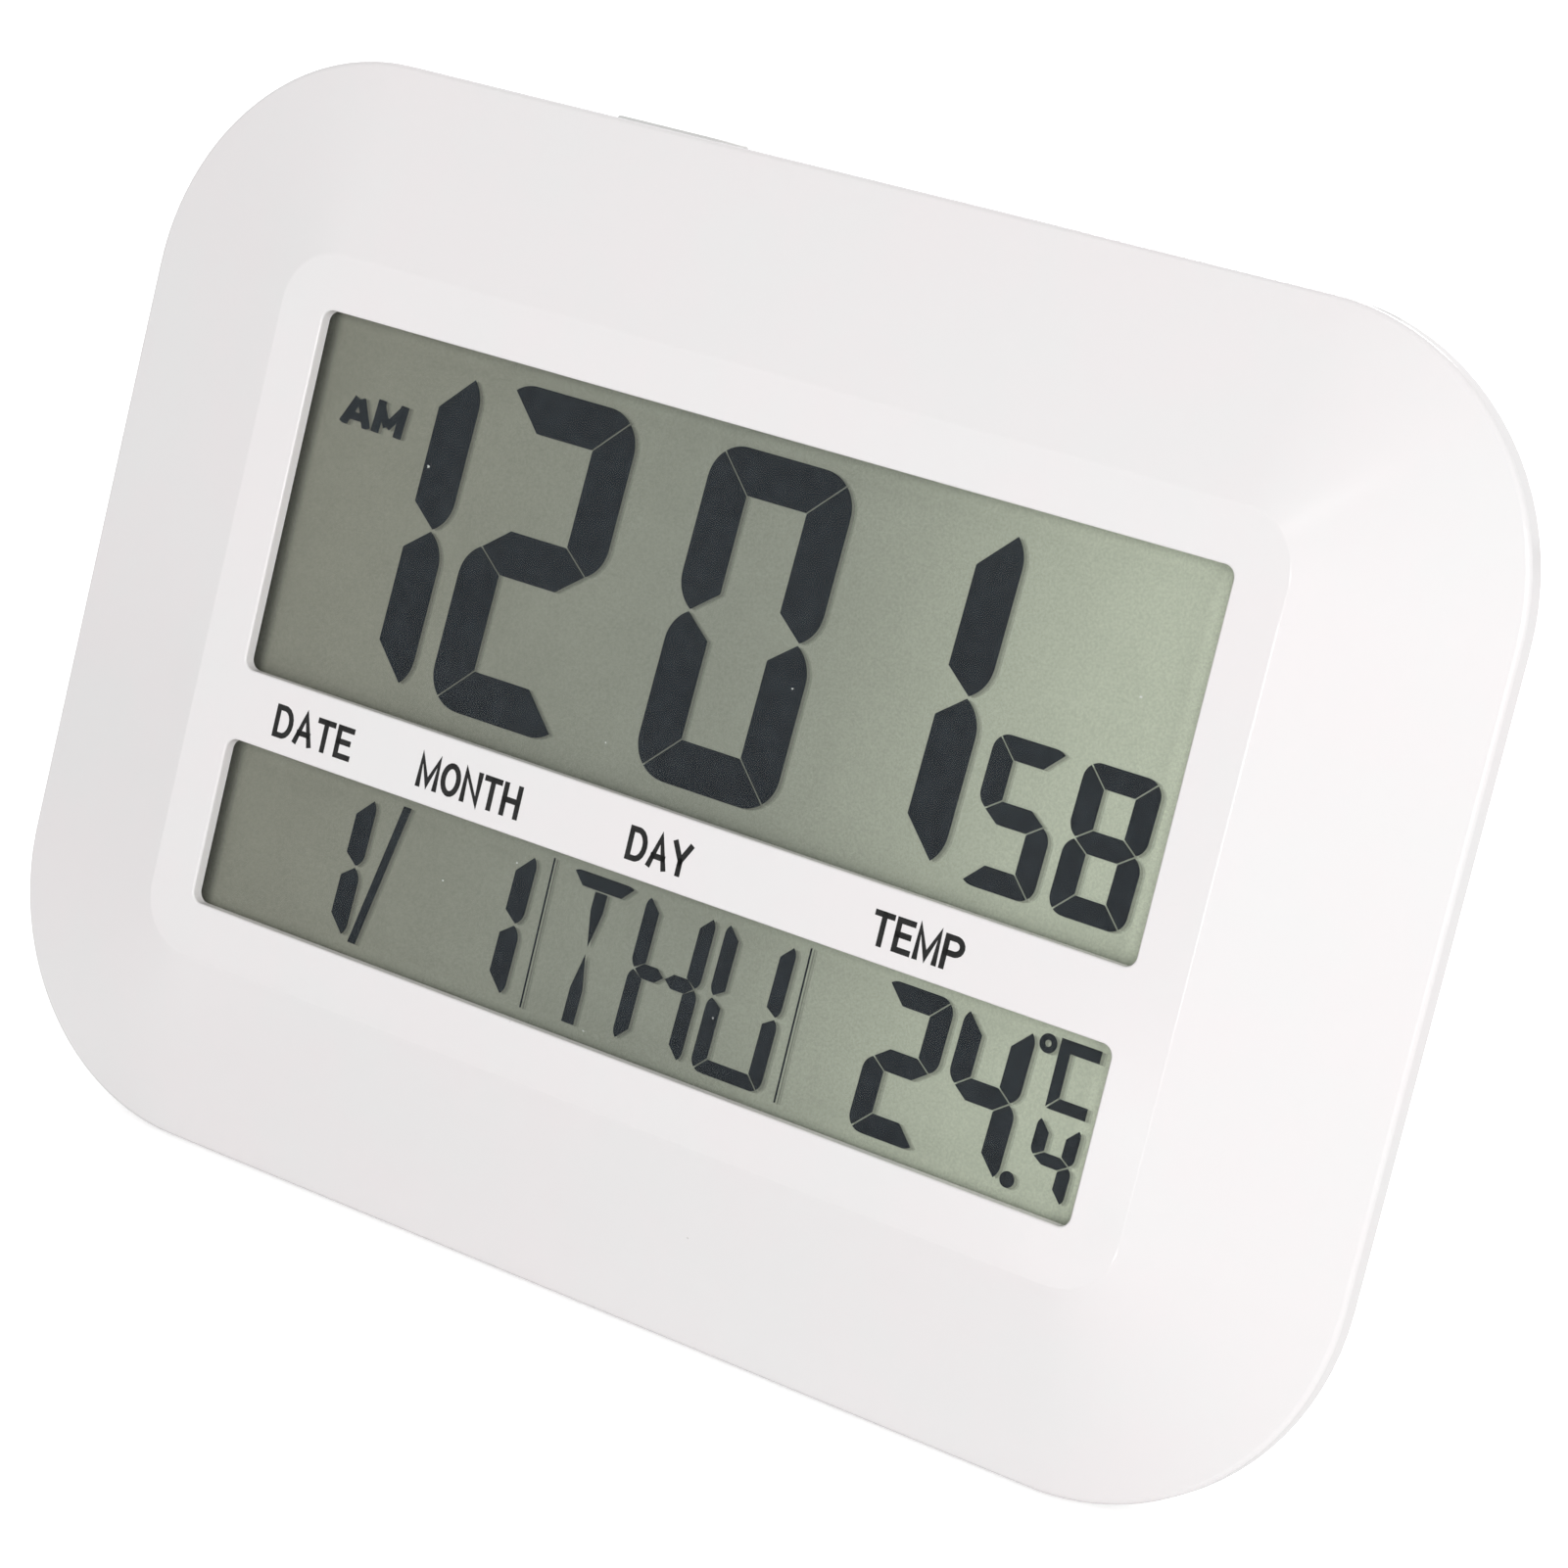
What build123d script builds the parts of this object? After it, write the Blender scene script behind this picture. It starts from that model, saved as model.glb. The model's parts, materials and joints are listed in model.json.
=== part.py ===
from build123d import *
from dataclasses import dataclass
from math import acos, cos, degrees, pi, radians, sin, sqrt
import os

# Large digital alarm clock, leaning back on its fold-out leg.
#
# Every piece is drawn in the clock's own frame: X to the right as seen from the front, Y towards the back,
# Z up the face, with the origin in the middle of the flat front panel. The last step leans the whole clock
# back and stands it on the table. All sizes are in millimetres.

# Face and shells
FACE_WIDTH = 265.0
FACE_HEIGHT = 190.0
FACE_CORNER = 43.6
BEZEL_SIDE = 34.75  # flat panel to the outline, left and right
BEZEL_END = 33.35  # flat panel to the outline, above and below
PANEL_CORNER = 10.0
BEZEL_DROP = 8.2  # from the flat panel back to the rim's front edge
RIM_DEPTH = 3.9
CASE_DEPTH = 28.0
WALL = 2.2
PANEL_EDGE_ROUND = 1.4
RIM_EDGE_ROUND = 1.0
COVER_INSET = 6.0  # rear cover's tub inside the rim
COVER_EDGE_ROUND = 3.0
COVER_FLANGE = 2.0
SHELL_CLEARANCE = 0.15

# Windows and their lips
PANEL_SIDE = 9.15  # windows to the flat panel's edge, left and right
PANEL_END = 9.45  # windows to the flat panel's edge, above and below
DATE_WINDOW_HEIGHT = 29.2
WINDOW_GAP = 12.3
WINDOW_CORNER = 2.0
WINDOW_LIP = 0.4

# Liquid crystal display, a sandwich from the front to the back
GASKET_THICKNESS = 0.4
POLARISER_THICKNESS = 0.2
GLASS_THICKNESS = 0.7
CELL_GAP = 0.1
REFLECTOR_THICKNESS = 0.3
LAYER_GAP = 0.02  # air or glue between neighbouring layers
GLASS_MARGIN = 4.5  # glass beyond the windows
CONTACT_LEDGE = 4.0  # front glass beyond the rear glass, along the top
FILM_INSET = 0.6
GASKET_INSET = 0.4
SEAL_WIDTH = 2.0
SEGMENT_GAP = 0.26  # bare line between neighbouring segments
SEGMENT_SLANT = 0.0315

# Display carrier
CARRIER_THICKNESS = 1.6
CARRIER_MARGIN = 1.5
CARRIER_EAR_RADIUS = 4.2
CARRIER_EAR_OFFSET = 5.0
CARRIER_EAR_END = 16.7  # ears in from the rear glass's ends
CARRIER_SIDE = 19.6  # solid left and right of the carrier's openings
CARRIER_END = 16.7  # solid above and below the openings
CARRIER_BAR = 9.0
CARRIER_CROSS_BAR = 12.0
CARRIER_COLUMNS = 4
CARRIER_OPENING_CORNER = 3.0
STRIP_LENGTH = 100.0
STRIP_INSET = 7.1  # strip's left end in from the glass's edge
STRIP_WIDTH = 2.2
STRIP_CLEARANCE = 0.4
STRIP_RAIL = 2.5  # carrier's edge above the strip

# Main board and what it carries
BOARD_FRONT = 9.0
BOARD_THICKNESS = 1.6
BOARD_HEIGHT = 84.0
BOARD_ABOVE_STRIP = 3.3
BOARD_HOLE_INSET_GLASS = 1.1  # left screws in from the glass's edge
BOARD_HOLE_INSET_X = 16.0
BOARD_HOLE_INSET_Z = 8.0
BOARD_POST_RADIUS = 3.0
CHIP_RADIUS = 8.5
CHIP_HEIGHT = 1.8
CHIP_X = -26.0
CHIP_RISE = 4.0  # above the board's middle
CRYSTAL_RADIUS = 1.5
CRYSTAL_LENGTH = 8.0
CAPACITOR_RADIUS = 3.15
CAPACITOR_HEIGHT = 7.5
THERMISTOR_RADIUS = 1.3
THERMISTOR_LENGTH = 3.6
THERMISTOR_X = -46.0
THERMISTOR_DROP = 8.0  # bead below the board's lower edge
LEAD_WIRE_RADIUS = 0.3

# Screws
CASE_SCREW_SIDE = 20.5  # corner screws in from the cover's sides
CASE_SCREW_END = 21.0  # corner screws in from the cover's ends
CASE_SCREW_MIDDLE = 12.5  # middle screws in from the cover's sides
CASE_SCREW_RADIUS = 1.4
CASE_SCREW_LENGTH = 10.0
CASE_SCREW_HEAD_RADIUS = 2.9
CASE_SCREW_HEAD_HEIGHT = 2.0
SMALL_SCREW_RADIUS = 1.0
SMALL_SCREW_LENGTH = 4.0
SMALL_SCREW_HEAD_RADIUS = 2.0
SMALL_SCREW_HEAD_HEIGHT = 1.4
SCREW_CLEARANCE = 0.05
BOSS_RADIUS = 3.6
BOSS_BACK = 15.0
SEAT_THICKNESS = 2.0
WELL_RADIUS = 3.4
WELL_WALL = 1.6
SEAT_GAP = 0.1

# Push keys on the back and their switches
KEY_RADIUS = 4.6
KEY_STAND = 1.2
KEY_EDGE_ROUND = 0.6
KEY_FLANGE = 1.5
KEY_FLANGE_THICKNESS = 1.5
KEY_CLEARANCE = 0.25
KEY_TRAVEL = 0.8
KEY_STEM_RADIUS = 2.0
KEY_RISE = 10.0  # upper keys above the board's middle
KEY_PITCH = 23.0
SWITCH_SIZE = 6.0
SWITCH_HEIGHT = 3.5
PLUNGER_RADIUS = 1.75
PLUNGER_CLEARANCE = 0.06
PLUNGER_LENGTH = 2.9
PLUNGER_STAND = 1.5
PLUNGER_REST = 0.2  # room left under a pressed plunger

# Alarm switch, a two position slider
SLIDER_SHIFT = 14.0  # right of the left keys
SLIDER_DROP = 33.0  # below the board's middle
SLIDER_BODY_LENGTH = 12.0
SLIDER_BODY_WIDTH = 6.0
SLIDER_BODY_HEIGHT = 4.0
SLIDER_TRAVEL = 3.0
SLIDER_TIP_LENGTH = 4.0
SLIDER_TIP_WIDTH = 2.6
SLIDER_STAND = 0.9
SLIDER_RIDE = 0.6  # how deep the slider's foot sits in the switch

# Snooze bar in the top wall
SNOOZE_INSET = 87.9  # middle of the bar in from the cover's left side
SNOOZE_Y = 19.0
SNOOZE_LENGTH = 24.5
SNOOZE_WIDTH = 8.0
SNOOZE_ABOVE_RIM = 0.4
SNOOZE_CORNER = 3.2
SNOOZE_BOARD_THICKNESS = 1.2
SNOOZE_BOARD_LENGTH = 32.0
SNOOZE_BOARD_WIDTH = 11.0
SNOOZE_STEM_LENGTH = 7.0
BRACKET_WIDTH = 3.0
BRACKET_HEIGHT = 9.0
BRACKET_GRIP = 2.0

# Battery bay, cells and door
CELL_RADIUS = 7.15
CELL_BODY_LENGTH = 49.2
CELL_NUB_LENGTH = 1.0
CELL_NUB_RADIUS = 2.7
CELL_PITCH = 15.2
CELL_CLEARANCE = 0.35
SPRING_LENGTH = 6.5
SPRING_RADIUS = 4.6
SPRING_TIP_RADIUS = 3.2
SPRING_TURNS = 4
SPRING_WIRE = 0.35  # wire radius
CONTACT_THICKNESS = 0.4
CONTACT_SIZE = 12.0
TAB_WIDTH = 2.4
TAB_LENGTH = 2.2
BAY_INSET = 56.5  # middle of the bay in from the cover's right side
BAY_Z = -20.0
BAY_FLOOR = 1.5
BAY_WALL = 3.6
DOOR_THICKNESS = 2.0
DOOR_LEDGE = 1.9
DOOR_CLEARANCE = 0.2
DOOR_PIN_RADIUS = 0.7
DOOR_PIN_LENGTH = 1.3
DOOR_CORNER = 2.0
LATCH_WIDTH = 14.0
LATCH_DEPTH = 1.1
WIRE_RADIUS = 0.6
WIRE_BEND = 2.5
WIRE_LANDING = 8.0  # wire that lies on the board

# Fold-out leg
LEAN = 15.0
LEG_BAY_GAP = 7.65  # leg to the battery bay
LEG_TAPER = 6.0
LEG_THICKNESS = 5.0
LEG_SKIN = 1.8
LEG_BORDER = 3.0
LEG_HEEL = 6.0
LEG_OVERHANG = 1.5
LEG_SINK = 0.3  # folded leg below the rear face
LEG_FLOOR_GAP = 0.5
LEG_SIDE_GAP = 0.4
LEG_CORNER = 4.0
STOP_GAP = 0.05
RECESS_TOP_GAP = 2.0
RECESS_FLOOR = 2.0
PIN_RADIUS = 1.5
PIN_GRIP = 6.0
PIN_BEARING = 4.5
PIN_END_GAP = 0.3
PIN_BOSS_RADIUS = 4.2
PIN_PRESS_CLEARANCE = 0.02
PIN_RUN_CLEARANCE = 0.06
PAD_THICKNESS = 1.4
PAD_INSET = 3.0

# Wall hanger
HANGER_DROP = 27.0  # middle of the plate below the cover's top
HANGER_WIDTH = 32.0
HANGER_HEIGHT = 26.0
HANGER_THICKNESS = 1.2
HANGER_CORNER = 3.0
KEYHOLE_RADIUS = 4.5
KEYHOLE_NECK_RADIUS = 2.2
KEYHOLE_RISE = 8.0
KEYHOLE_DROP = 4.0
POCKET_DEPTH = 5.3
POCKET_WIDTH = 14.0
POCKET_WALL = 1.6
HANGER_SCREW_X = 12.0

# Sounder, its grille and the air slots
SOUNDER_SIDE = 52.5  # in from the cover's left side
SOUNDER_RISE = 33.0  # above the cover's lower edge
SOUNDER_RADIUS = 15.0
SOUNDER_HEIGHT = 5.0
SOUNDER_WALL = 1.2
SOUNDER_PORT_RADIUS = 3.0
DISC_RADIUS = 12.5
DISC_THICKNESS = 0.5
DISC_SEAT = 1.2
GRILLE_HOLE_RADIUS = 0.8
GRILLE_RING_STEP = 3.0
GRILLE_RINGS = 3
SLOT_COUNT = 5
SLOT_LENGTH = 13.0
SLOT_WIDTH = 1.6
SLOT_PITCH = 3.6

# Levels through the depth of the clock, from the front panel back
RIM_BACK = BEZEL_DROP + RIM_DEPTH
GASKET_BACK = WALL + GASKET_THICKNESS
POLARISER_BACK = GASKET_BACK + POLARISER_THICKNESS
FRONT_GLASS_BACK = POLARISER_BACK + GLASS_THICKNESS
CELL_BACK = FRONT_GLASS_BACK + CELL_GAP
REAR_GLASS_BACK = CELL_BACK + GLASS_THICKNESS
REFLECTOR_BACK = REAR_GLASS_BACK + REFLECTOR_THICKNESS
CARRIER_BACK = REFLECTOR_BACK + CARRIER_THICKNESS
BOARD_BACK = BOARD_FRONT + BOARD_THICKNESS
COVER_INNER = CASE_DEPTH - WALL
SEAT_FRONT = BOSS_BACK + SEAT_GAP
SEAT_BACK = SEAT_FRONT + SEAT_THICKNESS

# Outlines of the shells
PANEL_WIDTH = FACE_WIDTH - 2 * BEZEL_SIDE
PANEL_HEIGHT = FACE_HEIGHT - 2 * BEZEL_END
COVER_WIDTH = FACE_WIDTH - 2 * COVER_INSET
COVER_HEIGHT = FACE_HEIGHT - 2 * COVER_INSET
COVER_CORNER = FACE_CORNER - COVER_INSET
COVER_BOTTOM = -COVER_HEIGHT / 2
COVER_TOP = COVER_HEIGHT / 2
COVER_LEFT = -COVER_WIDTH / 2
COVER_RIGHT = COVER_WIDTH / 2
CASE_SCREW_X = COVER_RIGHT - CASE_SCREW_SIDE
CASE_SCREW_Z = COVER_TOP - CASE_SCREW_END
CASE_SCREW_SIDE_X = COVER_RIGHT - CASE_SCREW_MIDDLE

# Windows, up the face
WINDOW_WIDTH = PANEL_WIDTH - 2 * PANEL_SIDE
WINDOWS_HEIGHT = PANEL_HEIGHT - 2 * PANEL_END
TIME_WINDOW_HEIGHT = WINDOWS_HEIGHT - WINDOW_GAP - DATE_WINDOW_HEIGHT
TIME_WINDOW_Z = (WINDOWS_HEIGHT - TIME_WINDOW_HEIGHT) / 2
DATE_WINDOW_Z = (DATE_WINDOW_HEIGHT - WINDOWS_HEIGHT) / 2
GLASS_WIDTH = WINDOW_WIDTH + 2 * GLASS_MARGIN
REAR_GLASS_HEIGHT = WINDOWS_HEIGHT + 2 * GLASS_MARGIN
STRIP_X = (STRIP_LENGTH - GLASS_WIDTH) / 2 + STRIP_INSET
STRIP_Z = (REAR_GLASS_HEIGHT + CONTACT_LEDGE) / 2

# Main board, from its left screws on the carrier's edge to those on the carrier's middle bar
BOARD_SCREW_SPAN = GLASS_WIDTH / 2 - BOARD_HOLE_INSET_GLASS
BOARD_WIDTH = BOARD_SCREW_SPAN + 2 * BOARD_HOLE_INSET_X
BOARD_X = -BOARD_SCREW_SPAN / 2
BOARD_TOP = STRIP_Z + BOARD_ABOVE_STRIP
BOARD_BOTTOM = BOARD_TOP - BOARD_HEIGHT
BOARD_Z = (BOARD_TOP + BOARD_BOTTOM) / 2
BOARD_RIGHT = BOARD_X + BOARD_WIDTH / 2

# What stands on the board and shows at the back
CHIP_Z = BOARD_Z + CHIP_RISE
KEY_X = -BOARD_SCREW_SPAN
KEY_Z = BOARD_Z + KEY_RISE
SLIDER_X = KEY_X + SLIDER_SHIFT
SLIDER_Z = BOARD_Z - SLIDER_DROP
SNOOZE_X = COVER_LEFT + SNOOZE_INSET
SOUNDER_X = COVER_LEFT + SOUNDER_SIDE
SOUNDER_Z = COVER_BOTTOM + SOUNDER_RISE
HANGER_Z = COVER_TOP - HANGER_DROP

# Battery bay
BAY_X = COVER_RIGHT - BAY_INSET
BAY_LENGTH = CELL_BODY_LENGTH + CELL_NUB_LENGTH + SPRING_LENGTH + 2 * CONTACT_THICKNESS
BAY_HEIGHT = CELL_PITCH + 2 * CELL_RADIUS + 2 * CELL_CLEARANCE
DOOR_BACK = CASE_DEPTH - STOP_GAP
DOOR_FRONT = DOOR_BACK - DOOR_THICKNESS
CELL_Y = DOOR_FRONT - CELL_CLEARANCE - CELL_RADIUS
BAY_FRONT = CELL_Y - CELL_RADIUS - CELL_CLEARANCE
DOOR_HALF_HEIGHT = BAY_HEIGHT / 2 + DOOR_LEDGE - DOOR_CLEARANCE
DOOR_AXIS_Y = DOOR_BACK - DOOR_THICKNESS / 2
DOOR_AXIS_Z = BAY_Z - DOOR_HALF_HEIGHT + DOOR_THICKNESS / 2

# Leg, its hinge in the middle of the back and how far it opens to reach the table
HINGE_Z = 0.0
LEG_WIDTH = 2 * (BAY_X - BAY_LENGTH / 2 - BAY_WALL - LEG_BAY_GAP)
LEG_FOOT_WIDTH = LEG_WIDTH - LEG_TAPER
HINGE_Y = CASE_DEPTH - LEG_SINK - LEG_THICKNESS / 2
RECESS_FLOOR_Y = HINGE_Y - LEG_THICKNESS / 2 - LEG_FLOOR_GAP
RECESS_HALF_WIDTH = LEG_WIDTH / 2 + LEG_SIDE_GAP
RECESS_TOP = HINGE_Z + LEG_HEEL + RECESS_TOP_GAP
TABLE_LEVEL = -RIM_BACK * sin(radians(LEAN)) - FACE_HEIGHT / 2 * cos(radians(LEAN))
HINGE_LEVEL = -HINGE_Y * sin(radians(LEAN)) + HINGE_Z * cos(radians(LEAN))
LEG_LENGTH = HINGE_Z - COVER_BOTTOM + LEG_OVERHANG
LEG_REAR_ANGLE = degrees(acos((HINGE_LEVEL - TABLE_LEVEL) / LEG_LENGTH))
LEG_OPEN_ANGLE = LEAN + LEG_REAR_ANGLE

# Snooze bar, up the clock
SNOOZE_TOP = FACE_HEIGHT / 2 + SNOOZE_ABOVE_RIM
SNOOZE_FLANGE_TOP = COVER_TOP - WALL - SEAT_GAP
SNOOZE_STEM_BOTTOM = SNOOZE_FLANGE_TOP - KEY_FLANGE_THICKNESS - SNOOZE_STEM_LENGTH
SNOOZE_SWITCH_BOTTOM = SNOOZE_STEM_BOTTOM - PLUNGER_STAND - SWITCH_HEIGHT

# Push keys: the stem ends on the switch's plunger
SWITCH_FLOOR = SWITCH_HEIGHT + PLUNGER_STAND - PLUNGER_LENGTH - KEY_TRAVEL - PLUNGER_REST
KEY_STEM_FRONT = BOARD_BACK + SWITCH_HEIGHT + PLUNGER_STAND
KEY_FLANGE_BACK = COVER_INNER - SEAT_GAP

DISPLAY_LAYER = (FRONT_GLASS_BACK + LAYER_GAP, CELL_BACK - LAYER_GAP)


@dataclass(frozen=True)
class DigitStyle:
    """One size of seven segment digit: the cell it fills, its bars, its rounding and its pointed waist."""

    width: float
    height: float
    upright: float
    level: float
    corner: float
    waist: float


# The four sizes of figure on the display
HOUR_STYLE = DigitStyle(width=28.1, height=56.3, upright=8.3, level=7.8, corner=6.5, waist=3.4)
SECOND_STYLE = DigitStyle(width=14.1, height=24.7, upright=4.35, level=3.95, corner=3.0, waist=1.7)
DATE_STYLE = DigitStyle(width=13.3, height=25.3, upright=4.1, level=3.85, corner=2.8, waist=1.6)
LETTER_STYLE = DigitStyle(width=14.05, height=25.3, upright=3.05, level=2.7, corner=2.3, waist=1.0)
TENTH_STYLE = DigitStyle(width=8.1, height=12.8, upright=2.6, level=2.25, corner=1.6, waist=0.9)

# Segments lit for each figure: a top, b and c right, d bottom, e and f left, g middle
FIGURES = {"0": "abcdef", "1": "bc", "2": "abged", "4": "fgbc", "5": "afgcd", "8": "abcdefg"}
FIGURES.update({"H": "bcefh", "U": "bcdef", "T": "at", "C": "afed"})

# Where the figures stand in windows of these sizes: their middle across the display, and their foot
# above a window's lower edge. Each row is drawn larger or smaller with its window.
FIELD_WIDTH = 177.2
TIME_FIELD_HEIGHT = 62.9
DATE_FIELD_HEIGHT = 29.2
HOUR_CENTRES = (-69.85, -37.75, 4.9, 37.0)
HOUR_FOOT = 3.6
SECOND_CENTRES = (60.7, 77.15)
DATE_CENTRES = (-64.1, -30.0, 51.9, 66.95)
DATE_FOOT = 1.95
LETTER_CENTRES = (-9.95, 5.8, 21.6)
TENTH_CENTRE = 81.3
DIVIDER_CENTRES = (-20.05, 31.25)
DIVIDER_WIDTH = 0.3
DIVIDER_HEIGHT = 25.7
SLASH_CENTRE = -53.7
SLASH_WIDTH = 1.6
SLASH_RUN = 5.2
POINT_CENTRE = 74.8
POINT_RADIUS = 1.3
DEGREE_CENTRE = 76.0
DEGREE_RADIUS = 1.55
DEGREE_HOLE = 0.55
UNIT_CENTRE = 81.7
UNIT_WIDTH = 7.2
UNIT_HEIGHT = 11.2
UNIT_BAR = 2.0
MARK_CENTRE = -76.2
MARK_FOOT = 44.8
MARK_HEIGHT = 5.6
MARK_STROKE = 1.7


def front_plane(y):
    """Plane at depth y that faces the viewer, so that a sketch is drawn as seen from the front."""
    return Plane(origin=(0, y, 0), x_dir=(1, 0, 0), z_dir=(0, -1, 0))


def slab(outline, y_front, y_back):
    """Solid with the given front view between two depths."""
    return extrude(front_plane(y_back) * outline, amount=y_back - y_front)


def rod(x, z, radius, y_front, y_back):
    """Round bar that runs front to back."""
    return slab(Pos(x, z) * Circle(radius), y_front, y_back)


def cross_rod(x_from, x_to, y, z, radius):
    """Round bar that runs left to right."""
    return extrude(Plane(origin=(x_from, y, z), z_dir=(1, 0, 0)) * Circle(radius), amount=x_to - x_from)


def upright_rod(x, y, radius, z_from, z_to):
    """Round bar that runs up the clock."""
    return extrude(Plane(origin=(x, y, z_from), z_dir=(0, 0, 1)) * Circle(radius), amount=z_to - z_from)


def block(x_from, x_to, y_from, y_to, z_from, z_to):
    """Box between six faces."""
    size = Box(x_to - x_from, y_to - y_from, z_to - z_from)
    return Pos((x_from + x_to) / 2, (y_from + y_to) / 2, (z_from + z_to) / 2) * size


def edges_at_depth(shape, y):
    """Edges of the shape that lie in the plane at depth y."""
    return [
        edge
        for edge in shape.edges()
        if abs(edge.bounding_box().min.Y - y) < 1e-3 and abs(edge.bounding_box().max.Y - y) < 1e-3
    ]


def together(pieces):
    """Several separate solids as one node."""
    solids = [solid for piece in pieces for solid in piece.solids()]
    return solids[0] if len(solids) == 1 else Compound(solids)


def moved(piece, placement):
    """Piece carried to a new place, solid by solid."""
    return together([placement * solid for solid in piece.solids()])


def face_outline(inset=0.0):
    """The clock's outline as seen from the front, drawn in by an inset."""
    return RectangleRounded(FACE_WIDTH - 2 * inset, FACE_HEIGHT - 2 * inset, FACE_CORNER - inset)


def cover_outline(inset=0.0):
    """Outline of the rear cover's tub, drawn in by an inset."""
    return RectangleRounded(COVER_WIDTH - 2 * inset, COVER_HEIGHT - 2 * inset, COVER_CORNER - inset)


def window_outline(grow=0.0):
    """Both windows, each grown by the same amount all round."""
    time_window = RectangleRounded(
        WINDOW_WIDTH + 2 * grow, TIME_WINDOW_HEIGHT + 2 * grow, WINDOW_CORNER + grow
    )
    date_window = RectangleRounded(
        WINDOW_WIDTH + 2 * grow, DATE_WINDOW_HEIGHT + 2 * grow, WINDOW_CORNER + grow
    )
    return Pos(0, TIME_WINDOW_Z) * time_window + Pos(0, DATE_WINDOW_Z) * date_window


def case_screw_places():
    """Front view places of the six screws that hold the two shells together."""
    corners = [(x, z) for x in (-CASE_SCREW_X, CASE_SCREW_X) for z in (-CASE_SCREW_Z, CASE_SCREW_Z)]
    return corners + [(-CASE_SCREW_SIDE_X, 0), (CASE_SCREW_SIDE_X, 0)]


def carrier_screw_places():
    """Front view places of the four screws that hold the display carrier."""
    x = GLASS_WIDTH / 2 + CARRIER_MARGIN + CARRIER_EAR_OFFSET
    z = REAR_GLASS_HEIGHT / 2 - CARRIER_EAR_END
    return [(i * x, k * z) for i in (-1, 1) for k in (-1, 1)]


def board_screw_places():
    """Front view places of the four screws that hold the main board."""
    x = BOARD_WIDTH / 2 - BOARD_HOLE_INSET_X
    z = BOARD_HEIGHT / 2 - BOARD_HOLE_INSET_Z
    return [(BOARD_X + i * x, BOARD_Z + k * z) for i in (-1, 1) for k in (-1, 1)]


def hanger_screw_places():
    """Front view places of the two screws of the keyhole plate."""
    return [(-HANGER_SCREW_X, HANGER_Z), (HANGER_SCREW_X, HANGER_Z)]


def key_places():
    """Front view places of the four push keys, two columns of two."""
    return [(KEY_X + i * KEY_PITCH, KEY_Z - k * KEY_PITCH) for k in (0, 1) for i in (0, 1)]


def front_form():
    """Flat panel, bezel that falls back all round with cone shaped corners, and the rim's side wall."""
    panel = front_plane(0) * RectangleRounded(PANEL_WIDTH, PANEL_HEIGHT, PANEL_CORNER)
    bezel = loft([panel, front_plane(BEZEL_DROP) * face_outline()], ruled=True)
    return bezel + slab(face_outline(), BEZEL_DROP, RIM_BACK)


def make_front_shell():
    """White front shell with two windows, screw bosses and the bosses of the display carrier."""
    outer = front_form()
    outer = fillet(edges_at_depth(outer, 0), PANEL_EDGE_ROUND)
    outer = fillet(edges_at_depth(outer, BEZEL_DROP), RIM_EDGE_ROUND)
    cavity = Pos(0, WALL, 0) * front_form() & slab(face_outline(WALL), 0, RIM_BACK + WALL)
    shell = outer - cavity - slab(window_outline(), -WALL, 2 * WALL)
    lips = [
        edge
        for edge in edges_at_depth(shell, 0)
        if abs(edge.center().X) < WINDOW_WIDTH / 2 + WALL and abs(edge.center().Z) < WINDOWS_HEIGHT / 2 + WALL
    ]
    shell = fillet(lips, WINDOW_LIP)
    room = outer + slab(face_outline(WALL), BEZEL_DROP, BOSS_BACK)
    for x, z in case_screw_places():
        shell += rod(x, z, BOSS_RADIUS, 0, BOSS_BACK) & room
        hole_front = SEAT_BACK - CASE_SCREW_LENGTH - SEAT_GAP
        shell -= rod(x, z, CASE_SCREW_RADIUS + SCREW_CLEARANCE, hole_front, BOSS_BACK)
    for x, z in carrier_screw_places():
        shell += rod(x, z, CARRIER_EAR_RADIUS, 0, REFLECTOR_BACK) & room
        hole_front = CARRIER_BACK - SMALL_SCREW_LENGTH - SEAT_GAP
        shell -= rod(x, z, SMALL_SCREW_RADIUS + SCREW_CLEARANCE, hole_front, REFLECTOR_BACK)
    return shell


def make_cover_tub():
    """Rear cover's tub with its flange, open towards the front."""
    tub = slab(cover_outline(), RIM_BACK - COVER_FLANGE, CASE_DEPTH)
    tub = fillet(edges_at_depth(tub, CASE_DEPTH), COVER_EDGE_ROUND)
    flange = slab(face_outline(WALL + SHELL_CLEARANCE), RIM_BACK - COVER_FLANGE, RIM_BACK)
    return tub + flange - slab(cover_outline(WALL), RIM_BACK - COVER_FLANGE, COVER_INNER)


def add_screw_wells(cover):
    """Six posts with deep wells for the case screws."""
    for x, z in case_screw_places():
        cover += rod(x, z, WELL_RADIUS + WELL_WALL, SEAT_FRONT, COVER_INNER)
        cover -= rod(x, z, WELL_RADIUS, SEAT_BACK, CASE_DEPTH)
        cover -= rod(x, z, CASE_SCREW_RADIUS + 4 * SCREW_CLEARANCE, SEAT_FRONT, SEAT_BACK)
    return cover


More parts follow.
